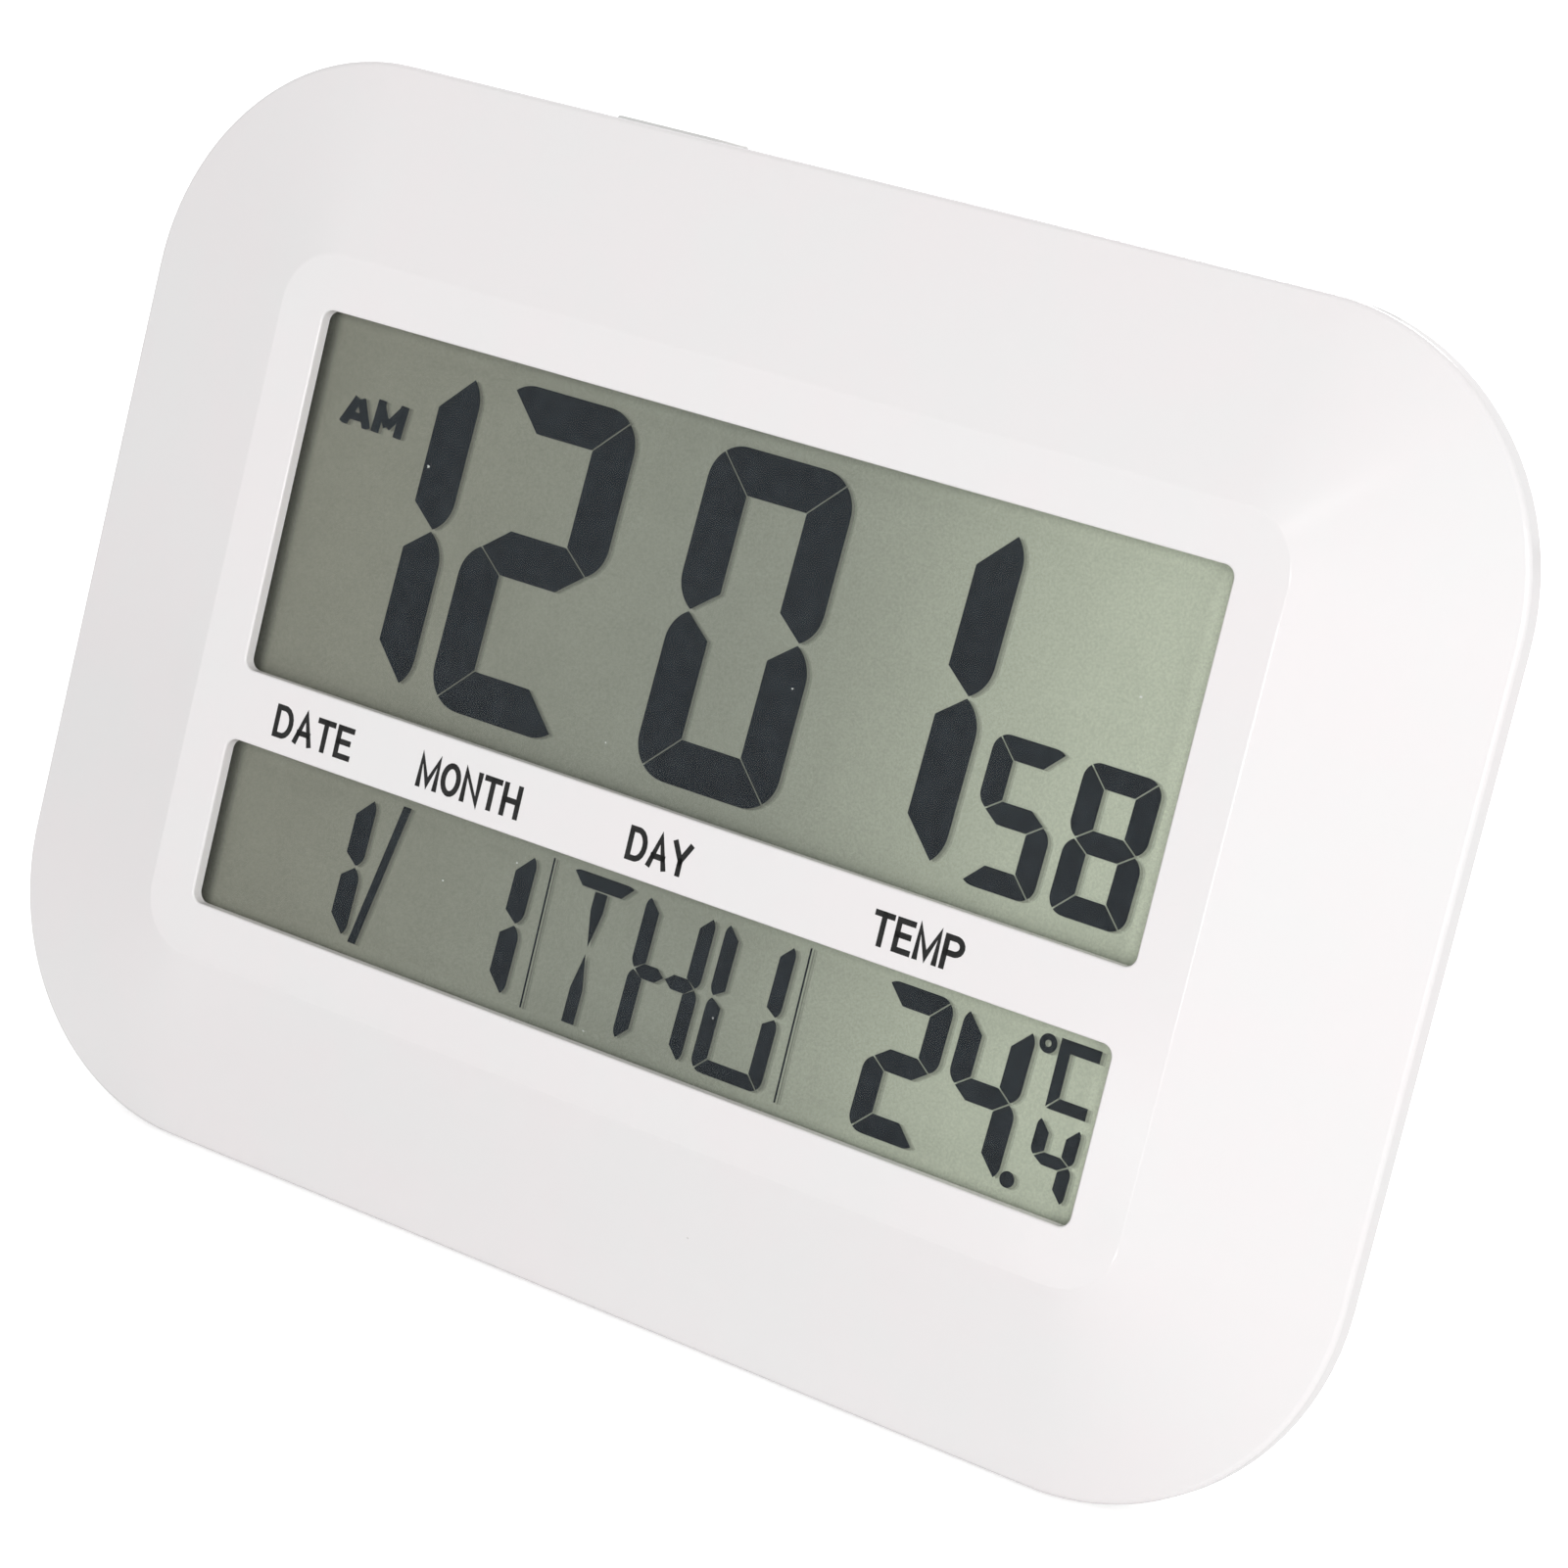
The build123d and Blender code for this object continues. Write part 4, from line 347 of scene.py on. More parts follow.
class Effects:
    """Shader node groups that the finishes share, each built once and named for what it shows."""

    RIPPLE_SCALE: float = 60.0
    SHEEN_SCALE: float = 90.0
    MOTTLE_ROUGHNESS: float = 0.62
    MOTTLE_SPAN: Span = (0.32, 0.68)
    SPECK_WOBBLE_SCALE: float = 2400.0
    SPECK_WOBBLE: tuple[float, float, float] = (0.0006, 0.0006, 0.0006)
    LEAST_SPECK: float = 0.3
    RUB_SCALE: float = 420.0
    RUB_SPAN: Span = (0.35, 0.62)
    RUB_SAMPLES: int = 4
    PLATING_SCALE: float = 180.0
    PLATING_ROUGHNESS: float = 0.6
    FINGER_SCALE: float = 700.0
    FINGER_ROUGHNESS: float = 0.7
    PATCH_SPAN: Span = (0.5, 0.7)
    FINGER_SPAN: Span = (0.3, 0.7)

    def __init__(self) -> None:
        """Builds all the groups."""
        self.skin = self.moulded_skin()
        self.dust = self.dust_specks()
        self.rub = self.edge_rub()
        self.brush = self.brushed_lines()
        self.smudge = self.handled_patches()

    def moulded_skin(self) -> bpy.types.NodeTree:
        """Skin of a moulded part: grain from the tool, slow flow ripple and uneven colour.

        Returns:
            The effect's group.
        """
        inputs = {"Grain Scale": 2600.0, "Ripple": 0.3, "Mottle Scale": 34.0}
        nodes = EffectTree("moulded_skin", inputs)
        where, given = nodes.place(), nodes.given
        grain = nodes.noise(where, given["Grain Scale"], detail=3.0)
        ripple = nodes.noise(where, self.RIPPLE_SCALE, detail=1.0)
        mottle = nodes.noise(where, given["Mottle Scale"], 5.0, self.MOTTLE_ROUGHNESS)
        return nodes.finished(
            Height=nodes.math("MULTIPLY_ADD", ripple, given["Ripple"], grain),
            Mottle=nodes.span(mottle, *self.MOTTLE_SPAN),
            Sheen=nodes.noise(where, self.SHEEN_SCALE, detail=4.0),
        )

    def dust_specks(self) -> bpy.types.NodeTree:
        """Sparse specks of dust: a few cells of a Voronoi pattern hold a small irregular grain.

        Returns:
            The effect's group.
        """
        nodes = EffectTree("dust_specks", {"Cells": 220.0, "Share": 0.1, "Size": 0.12})
        where, given = nodes.place(), nodes.given
        scale = self.SPECK_WOBBLE_SCALE
        wobble = nodes.add("ShaderNodeTexNoise", Vector=where, Scale=scale).outputs["Color"]
        terms = (wobble, self.SPECK_WOBBLE, where)
        shaken = nodes.worked("ShaderNodeVectorMath", "MULTIPLY_ADD", terms).outputs[0]
        cells = nodes.add("ShaderNodeTexVoronoi", Vector=shaken, Scale=given["Cells"]).outputs
        tone = nodes.add("ShaderNodeSeparateColor", Color=cells["Color"]).outputs
        held = nodes.math("LESS_THAN", tone["Red"], given["Share"])
        grown = nodes.math("ADD", tone["Green"], self.LEAST_SPECK)
        size = nodes.math("MULTIPLY", grown, given["Size"])
        near = nodes.math("LESS_THAN", cells["Distance"], size)
        return nodes.finished(Mask=nodes.math("MULTIPLY", held, near))

    def edge_rub(self) -> bpy.types.NodeTree:
        """Rubbed edges: where a widely rounded normal leaves the true one, broken up by noise.

        Returns:
            The effect's group.
        """
        nodes = EffectTree("edge_rub", {"Width": 0.0008, "Strength": 3.0})
        rounded = nodes.add("ShaderNodeBevel", Radius=nodes.given["Width"])
        rounded.samples = self.RUB_SAMPLES
        true = nodes.add("ShaderNodeNewGeometry").outputs["Normal"]
        turned = nodes.math("SUBTRACT", 1.0, nodes.dot(rounded.outputs[0], true))
        strong = nodes.math("MULTIPLY", turned, nodes.given["Strength"], clamp=True)
        patches = nodes.noise(nodes.place(), self.RUB_SCALE, detail=3.0)
        worn = nodes.math("MULTIPLY", strong, nodes.span(patches, *self.RUB_SPAN))
        return nodes.finished(Mask=worn)

    def brushed_lines(self) -> bpy.types.NodeTree:
        """Rolled or brushed metal: noise drawn out one way, with a slow change of tone.

        Returns:
            The effect's group.
        """
        nodes = EffectTree("brushed_lines", {"Across": 4200.0, "Along": 160.0})
        axes = nodes.add("ShaderNodeSeparateXYZ", Vector=nodes.place()).outputs
        drawn = nodes.add("ShaderNodeCombineXYZ")
        for place, way in enumerate(("Along", "Across", "Across")):
            nodes.feed(drawn.inputs[place], nodes.math("MULTIPLY", axes[place], nodes.given[way]))
        return nodes.finished(
            Height=nodes.noise(drawn.outputs[0], 1.0, detail=3.0),
            Tone=nodes.noise(nodes.place(), self.PLATING_SCALE, 4.0, self.PLATING_ROUGHNESS),
        )

    def handled_patches(self) -> bpy.types.NodeTree:
        """Faint patches where fingers have changed the gloss.

        Returns:
            The effect's group.
        """
        nodes = EffectTree("handled_patches", {"Scale": 26.0})
        where = nodes.place()
        broad = nodes.noise(where, nodes.given["Scale"], detail=1.0)
        fine = nodes.noise(where, self.FINGER_SCALE, 5.0, self.FINGER_ROUGHNESS)
        parts = (nodes.span(broad, *self.PATCH_SPAN), nodes.span(fine, *self.FINGER_SPAN))
        return nodes.finished(Mask=nodes.math("MULTIPLY", *parts))


@dataclass(frozen=True)
class Dust:
    """Specks on a finish: cells in a metre, share of them with a speck, its size and colour."""

    cells: float
    share: float
    size: float
    colour: Colour


class Coat(NodeTree):
    """A material under construction: its nodes, its Principled BSDF and the shared effects."""

    def __init__(self, name: str, effects: Effects) -> None:
        """Starts a material.

        Args:
            name: Name of the material.
            effects: The shared effects.
        """
        self.material = bpy.data.materials.new(name)
        self.material.use_nodes = True
        self.effects = effects
        super().__init__(self.material.node_tree)

    def shade(self, **inputs: object) -> None:
        """Fills the shader's inputs."""
        self.fill(self.ready("BSDF_PRINCIPLED"), inputs)

    def effect(self, tree: bpy.types.NodeTree, **inputs: float) -> NodeOutputs:
        """Places a shared effect with the finish's own values.

        Args:
            tree: The effect's node group.
            inputs: Input names, with underscores for spaces, and a value for each.

        Returns:
            What the effect puts out.
        """
        node = self.tree.nodes.new("ShaderNodeGroup")
        node.node_tree = tree
        return self.fill(node, inputs).outputs

    def skin(self, grain: float, mottle: float = 34.0, ripple: float = 0.3) -> NodeOutputs:
        """Moulded skin with the finish's own grain, blotches and ripple."""
        values = {"Grain_Scale": grain, "Mottle_Scale": mottle, "Ripple": ripple}
        return self.effect(self.effects.skin, **values)

    def dusted(self, dust: Dust, under: Socket) -> Socket:
        """Strews dust over a colour."""
        return self.blend(self.specks(dust), under, dust.colour)

    def specks(self, dust: Dust) -> Socket:
        """Mask of the dust's specks."""
        values = {"Cells": dust.cells, "Share": dust.share, "Size": dust.size}
        return self.effect(self.effects.dust, **values)["Mask"]

    def sheen(self, skin: NodeOutputs, low: float, high: float) -> Socket:
        """Roughness that goes from low to high with the skin's sheen."""
        return self.span(skin["Sheen"], *NOISE_SPAN, low, high)

    def raised(self, height: Socket, depth: float) -> Socket:
        """Normal of a height, about 0 to 1, where 1 stands for a depth in metres."""
        return self.add("ShaderNodeBump", Height=height, Distance=depth).outputs[0]


@dataclass(frozen=True)
class Finish:
    """What every finish has: a name, which is also the material's."""

    name: str

    def paint(self, coat: Coat) -> None:
        """Builds the finish's nodes: each kind of finish has its own."""
        raise NotImplementedError


def scaled(colour: Colour, share: float) -> Colour:
    """A colour times a share, up to white."""
    return tuple(min(1.0, channel * share) for channel in colour)


@dataclass(frozen=True)
class MouldedPlastic(Finish):
    """Injection moulded plastic: grained skin, blotchy colour, rubbed edges and a little dust."""

    colour: Colour
    roughness: float
    depth: float = 0.000004
    grain: float = 2600.0
    ripple: float = 0.3
    warm: Colour = (1.012, 0.996, 0.99)
    cool: Colour = (0.99, 1.002, 0.996)
    rub_colour: Colour = (0.93, 0.93, 0.93)
    dust_share: float = 0.03
    dust: Dust = Dust(320.0, 0.0, 0.05, (0.6, 0.59, 0.57))
    sheen_swing: float = 0.12
    finger_swing: float = 0.08

    def paint(self, coat: Coat) -> None:
        """Builds the plastic's nodes.

        Args:
            coat: The material under construction.
        """
        effects = coat.effects
        skin = coat.skin(self.grain, ripple=self.ripple)
        tint = coat.blend(skin["Mottle"], self.tinted(self.warm), self.tinted(self.cool))
        worn = coat.blend(coat.effect(effects.rub)["Mask"], tint, self.tinted(self.rub_colour))
        least = self.roughness - self.sheen_swing / 2
        uneven = coat.math("MULTIPLY_ADD", skin["Sheen"], self.sheen_swing, least)
        hands = coat.effect(effects.smudge)["Mask"]
        coat.shade(
            Base_Color=coat.dusted(replace(self.dust, share=self.dust_share), worn),
            Roughness=coat.math("MULTIPLY_ADD", hands, self.finger_swing, uneven),
            Normal=coat.raised(skin["Height"], self.depth),
        )

    def tinted(self, tint: Colour) -> Colour:
        """The plastic's colour under a tint."""
        return tuple(min(1.0, channel * share) for channel, share in zip(self.colour, tint))


@dataclass(frozen=True)
class Matt(Finish):
    """Rubber, foam, sealant or resin: dull and pitted, with paler patches and a little dust."""

    colour: Colour
    patches: Colour
    roughness: float
    dullest: float = 0.95
    specular: float = 0.25
    grain: float = 1800.0
    mottle: float = 120.0
    depth: float = 0.00003
    dust: Dust = Dust(500.0, 0.06, 0.12, (0.3, 0.3, 0.29))

    def paint(self, coat: Coat) -> None:
        """Builds the matt finish's nodes.

        Args:
            coat: The material under construction.
        """
        skin = coat.skin(self.grain, self.mottle)
        tone = coat.blend(skin["Mottle"], self.colour, self.patches)
        coat.shade(
            Base_Color=coat.dusted(self.dust, tone),
            Roughness=coat.sheen(skin, self.roughness, self.dullest),
            Specular_IOR_Level=self.specular,
            Normal=coat.raised(skin["Height"], self.depth),
        )


@dataclass(frozen=True)
class Ink(Matt):
    """Printed ink, or the dark liquid crystal of a figure: smooth, and thin in places."""

    dullest: float = 0.7
    grain: float = 5000.0
    mottle: float = 380.0
    depth: float = 0.000002
    dust: Dust = Dust(240.0, 0.04, 0.05, (0.5, 0.52, 0.52))


@dataclass(frozen=True)
class Metal(Finish):
    """Plated steel or brass: drawn lines, uneven plating, duller patches and brighter edges."""

    colour: Colour
    dull: Colour
    roughness: float = 0.3
    edge: float = 0.0004
    edge_gain: float = 1.15
    depth: float = 0.000004
    dull_span: Span = (0.45, 0.72)
    rough_span: Span = (0.3, 0.75)
    rough_swing: Span = (-0.06, 0.14)

    def paint(self, coat: Coat) -> None:
        """Builds the metal's nodes.

        Args:
            coat: The material under construction.
        """
        lines = coat.effect(coat.effects.brush)
        rubbed = coat.effect(coat.effects.rub, Width=self.edge)["Mask"]
        plated = coat.blend(coat.span(lines["Tone"], *self.dull_span), self.colour, self.dull)
        smooth, rough = (self.roughness + swing for swing in self.rough_swing)
        coat.shade(
            Base_Color=coat.blend(rubbed, plated, scaled(self.colour, self.edge_gain)),
            Roughness=coat.span(lines["Tone"], *self.rough_span, smooth, rough),
            Metallic=1.0,
            Normal=coat.raised(lines["Height"], self.depth),
        )


@dataclass(frozen=True)
class Pane(Finish):
    """Thin clear layer of the display, glass or film, that lets what is under it show."""

    colour: Colour
    cover: float
    roughness: float
    haze: float = 0.0
    shade: float = 0.9
    grain: float = 5200.0
    ripple: float = 0.1
    depth: float = 0.000002
    finger_scale: float = 40.0
    dust: Dust = Dust(150.0, 0.05, 0.05, (0.75, 0.77, 0.76))

    def paint(self, coat: Coat) -> None:
        """Builds the pane's nodes.

        Args:
            coat: The material under construction.
        """
        hands = coat.effect(coat.effects.smudge, Scale=self.finger_scale)["Mask"]
        skin = coat.skin(self.grain, ripple=self.ripple)
        tone = coat.blend(skin["Mottle"], self.colour, scaled(self.colour, self.shade))
        clouded = coat.math("MULTIPLY_ADD", hands, self.haze, self.cover)
        coat.shade(
            Base_Color=coat.dusted(self.dust, tone),
            Alpha=coat.math("MAXIMUM", clouded, coat.specks(self.dust)),
            Roughness=self.roughness,
            Normal=coat.raised(skin["Height"], self.depth),
        )


@dataclass(frozen=True)
class DisplayGround(Finish):
    """Grey green reflector behind the figures, with painted light: paler to the right, a painted
    shadow along its left edge and painted light near the windows' edges.

    The windows' edges are heights above the display's middle, and middle_height is that middle's
    own height over the table's corner, both measured up the clock's face.
    """

    # Colours across the display, paler to the right as painted light.
    left: Colour
    middle: Colour
    right: Colour
    half_width: float
    edges: tuple[float, ...]
    middle_height: float = 0.08742
    # Painted shadow along the left edge, where the window's wall shades the ground: its width, its
    # darkness at the wall and its colour, which also darkens the random blotches.
    painted_shadow_width: float = 0.0022
    painted_shadow_tone: float = 0.55
    painted_shadow_and_blotch_colour: Colour = (0.012, 0.013, 0.013)
    # Painted light near the windows' top and bottom edges, and stronger along the right edge.
    painted_light_width: float = 0.004
    painted_light_gain: float = 1.17
    right_painted_light_gain: float = 1.5
    right_painted_light_reach: Span = (0.0015, 0.0052)
    pores: float = 3600.0
    mottle: float = 45.0
    grain: float = 2400.0
    grain_roughness: float = 0.7
    grain_span: Span = (0.3, 0.7)
    grain_swing: Span = (0.91, 1.09)
    blotch: float = 0.05
    rough: Span = (0.5, 0.75)
    specular: float = 0.2
    depth: float = 0.000006
    dust: Dust = Dust(260.0, 0.05, 0.06, (0.7, 0.72, 0.7))

    def darkened(self, name: str, tone: float) -> "DisplayGround":
        """The same ground in shadow, with only a share of its light left."""
        colours = {part: scaled(getattr(self, part), tone) for part in ("left", "middle", "right")}
        return replace(self, name=name, **colours)

    def paint(self, coat: Coat) -> None:
        """Builds the ground's nodes.

        Args:
            coat: The material under construction.
        """
        skin = coat.skin(self.pores, self.mottle)
        across = coat.across()
        near = coat.span(across, -self.half_width, 0.0)
        far = coat.span(across, 0.0, self.half_width)
        # Painted light: the ground is paler to the right.
        ground = coat.blend(far, coat.blend(near, self.left, self.middle), self.right)
        noise = coat.noise(coat.place(), self.grain, roughness=self.grain_roughness)
        grain = coat.span(noise, *self.grain_span, *self.grain_swing)
        # The grain and the painted edge light both scale the colour.
        for level in (grain, self.painted_edge_light(coat, across)):
            ground = coat.blend(1.0, ground, coat.grey(level), "MULTIPLY")
        # Painted shadow along the left edge, darkest at the wall, with the random blotches added to
        # it.
        painted_shadow_end = self.painted_shadow_width - self.half_width
        shade = coat.span(across, -self.half_width, painted_shadow_end, self.painted_shadow_tone, 0.0)
        blotch = coat.math("MULTIPLY", skin["Mottle"], self.blotch)
        dark = coat.math("ADD", shade, blotch, clamp=True)
        coat.shade(
            Base_Color=coat.dusted(self.dust, coat.blend(dark, ground, self.painted_shadow_and_blotch_colour)),
            Roughness=coat.sheen(skin, *self.rough),
            Specular_IOR_Level=self.specular,
            Normal=coat.raised(skin["Height"], self.depth),
        )

    def painted_edge_light(self, coat: Coat, across: Socket) -> Socket:
        """Painted light on the ground near the windows' top and bottom edges, and more along its
        right edge.

        Args:
            coat: The material under construction.
            across: Distance to the right of the display's middle.

        Returns:
            What the ground's colour is multiplied by.
        """
        slope = math.radians(LEAN)
        rise = coat.dot(coat.place(), (0.0, math.sin(slope), math.cos(slope)))
        height = coat.math("SUBTRACT", rise, self.middle_height)
        away = [coat.math("ABSOLUTE", coat.math("SUBTRACT", height, edge)) for edge in self.edges]
        near = reduce(lambda first, second: coat.math("MINIMUM", first, second), away)
        # Painted light: paler near the windows' top and bottom edges and along the right edge.
        from_right = coat.math("SUBTRACT", self.half_width, across)
        beside = coat.span(from_right, *self.right_painted_light_reach, self.right_painted_light_gain, 1.0)
        below = coat.span(near, 0.0, self.painted_light_width, self.painted_light_gain, 1.0)
        return coat.math("MAXIMUM", below, beside)


@dataclass(frozen=True)
class SolderMask(Finish):
    """Printed circuit board: green mask over copper lines, with bare ring shaped pads."""

    mask: Colour = (0.012, 0.11, 0.035)
    copper: Colour = (0.05, 0.24, 0.09)
    pad: Colour = (0.72, 0.70, 0.66)
    cells: float = 210.0
    line_pitch: float = 0.16
    line_span: Span = (0.07, 0.1)
    pad_size: float = 0.09
    grain: float = 2400.0
    rough: Span = (0.28, 0.5)
    depth: float = 0.00003

    def paint(self, coat: Coat) -> None:
        """Builds the board's nodes.

        Args:
            coat: The material under construction.
        """
        cells = coat.add("ShaderNodeTexVoronoi", Vector=coat.place(), Scale=self.cells)
        cells.distance = "MANHATTAN"
        distance = cells.outputs["Distance"]
        lines = coat.span(coat.math("PINGPONG", distance, self.line_pitch), *self.line_span)
        pads = coat.math("LESS_THAN", distance, self.pad_size)
        skin = coat.skin(self.grain)
        coat.shade(
            Base_Color=coat.blend(pads, coat.blend(lines, self.mask, self.copper), self.pad),
            Metallic=pads,
            Roughness=coat.sheen(skin, *self.rough),
            Normal=coat.raised(lines, self.depth),
        )


@dataclass(frozen=True)
class CellSleeve(Finish):
    """Printed sleeve of a dry cell, with bare steel at both ends. The plus end is a pale band."""

    middle: float
    half_length: float
    plus: float
    band: float = 0.011
    rim: float = 0.0008
    line_gap: float = 0.001
    line_half: float = 0.0004
    sleeve: Colour = (0.02, 0.10, 0.115)
    plus_band: Colour = (0.56, 0.57, 0.57)
    line_colour: Colour = (0.6, 0.6, 0.58)
    blotch: float = 0.12
    blotch_colour: Colour = (0.3, 0.3, 0.3)
    steel: Colour = (0.70, 0.69, 0.67)
    band_metal: float = 0.4
    grain: float = 1400.0
    rough: Span = (0.22, 0.42)
    depth: float = 0.000005

    def paint(self, coat: Coat) -> None:
        """Builds the sleeve's nodes.

        Args:
            coat: The material under construction.
        """
        from_middle = coat.math("SUBTRACT", coat.across(), self.middle)
        along = coat.math("MULTIPLY", from_middle, self.plus)
        band_start = self.half_length - self.band
        banded = coat.math("GREATER_THAN", along, band_start)
        away = coat.math("ABSOLUTE", along)
        bare = coat.math("GREATER_THAN", away, self.half_length - self.rim)
        line = coat.math("COMPARE", along, band_start - self.line_gap, self.line_half)
        skin = coat.skin(self.grain)
        printed = coat.blend(banded, self.sleeve, self.plus_band)
        marked = coat.blend(line, printed, self.line_colour)
        share = coat.math("MULTIPLY", skin["Mottle"], self.blotch)
        blotched = coat.blend(share, marked, self.blotch_colour)
        coat.shade(
            Base_Color=coat.blend(bare, blotched, self.steel),
            Metallic=coat.math("MAXIMUM", bare, coat.math("MULTIPLY", banded, self.band_metal)),
            Roughness=coat.sheen(skin, *self.rough),
            Normal=coat.raised(skin["Height"], self.depth),
        )


Looks = tuple[tuple[Finish, tuple[str, ...]], ...]
TEXTURED = MouldedPlastic(
    "textured_white_cover", (0.80, 0.80, 0.79), 0.55, depth=0.00002, grain=2200.0, ripple=0.1
)


def jacket(name: str, colour: Colour, roughness: float) -> MouldedPlastic:
    """Clean plastic of a wire's jacket or a capacitor's sleeve."""
    return MouldedPlastic(name, colour, roughness, dust_share=0.0)


@dataclass
class Workshop:
    """What every sub-assembly works with: the frame, the clock's placement and the effects."""

    frame: dict
    placement: Placement
    effects: Effects
    made: dict[str, bpy.types.Material] = field(default_factory=dict)

    def material(self, finish: Finish) -> bpy.types.Material:
        """Gives a finish's material, made once.

        Args:
            finish: The finish.

        Returns:
            Its material.
        """
        if finish.name not in self.made:
            coat = Coat(finish.name, self.effects)
            finish.paint(coat)
            self.made[finish.name] = coat.material
        return self.made[finish.name]

    def dress(self, finish: Finish, *nodes: str) -> None:
        """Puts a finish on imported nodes.

        Args:
            finish: The finish.
            nodes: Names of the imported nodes.
        """
        for node in nodes:
            for slot in self.frame["nodes"][node].material_slots:
                slot.material = self.material(finish)
            log.info("dressed %s in %s", node, finish.name)

    def add(self, mesh: bpy.types.Mesh, finish: Finish, body: Body, slot: str) -> None:
        """Adds a piece that rides on a body.

        Args:
            mesh: Its mesh, in the table's directions, which also has the piece's name.
            finish: Its finish.
            body: The body that carries it.
            slot: Not used.
        """
        piece = set_out(mesh.name, mesh)
        mesh.materials.append(self.material(finish))
        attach(piece, body.value)
        log.info("added %s on %s", piece.name, body.value)


@dataclass
class Assembly:
    """Sub-assembly of the clock: its finishes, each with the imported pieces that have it."""

    shop: Workshop
    looks: Looks = ()

    def build(self) -> None:
        """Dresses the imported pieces."""
        for finish, nodes in self.looks:
            self.shop.dress(finish, *nodes)


def bow(
    x: float, z: float, wide: float, high: float, start: float, end: float, steps: int = 8
) -> Stroke:
    """Points on part of an ellipse, from one angle to another, in shares of a letter's box."""
    angles = [math.radians(start + (end - start) * step / steps) for step in range(steps + 1)]
    return tuple((x + wide * math.cos(angle), z + high * math.sin(angle)) for angle in angles)


class Alphabet:
    """Plain sans capitals, each as the middle lines of its strokes in a box of one by one."""

    LEFT_POLE: Stroke = ((0.0, 0.0), (0.0, 1.0))
    RIGHT_POLE: Stroke = ((1.0, 0.0), (1.0, 1.0))
    ROUND: Span = (80, -80)
    D_BOW: Stroke = ((0.45, 1.0), *bow(0.45, 0.5, 0.55, 0.5, *ROUND), (0.45, 0.0))
    P_BOW: Stroke = ((0.55, 1.0), *bow(0.55, 0.74, 0.45, 0.26, *ROUND), (0.55, 0.48))
    S_TOP: Stroke = bow(0.5, 0.76, 0.5, 0.24, 20, 270, steps=12)
    S_FOOT: Stroke = bow(0.5, 0.25, 0.5, 0.25, 80, -160, steps=12)
    U_BOW: Stroke = ((0.0, 0.32), *bow(0.5, 0.32, 0.5, 0.32, 190, 350, steps=12), (1.0, 0.32))
    STROKES: dict[str, tuple[Stroke, ...]] = {
        "A": (((0.0, 0.0), (0.5, 1.0), (1.0, 0.0)), ((0.17, 0.32), (0.83, 0.32))),
        "D": ((*LEFT_POLE, *D_BOW, (0.0, 0.0)),),
        "E": (((1.0, 1.0), *reversed(LEFT_POLE), (1.0, 0.0)), ((0.0, 0.52), (0.85, 0.52))),
        "F": (((1.0, 1.0), *reversed(LEFT_POLE)), ((0.0, 0.5), (0.85, 0.5))),
        "H": (LEFT_POLE, RIGHT_POLE, ((0.0, 0.5), (1.0, 0.5))),
        "M": ((*LEFT_POLE, (0.5, 0.1), *reversed(RIGHT_POLE)),),
        "N": ((*LEFT_POLE, *RIGHT_POLE),),
        "O": (bow(0.5, 0.5, 0.5, 0.5, 90, 450, steps=24),),
        "P": ((*LEFT_POLE, *P_BOW, (0.0, 0.48)),),
        "S": ((*S_TOP, *S_FOOT),),
        "T": (((0.0, 1.0), (1.0, 1.0)), ((0.5, 1.0), (0.5, 0.0))),
        "U": (((0.0, 1.0), *U_BOW, (1.0, 1.0)),),
        "W": (((0.0, 1.0), (0.26, 0.0), (0.5, 0.8), (0.74, 0.0), (1.0, 1.0)),),
        "Y": (((0.0, 1.0), (0.5, 0.45), (1.0, 1.0)), ((0.5, 0.45), (0.5, 0.0))),
    }
    WIDE: dict[str, float] = {"M": 1.22, "W": 1.35, "O": 1.08, "E": 0.86, "F": 0.84, "T": 0.95}


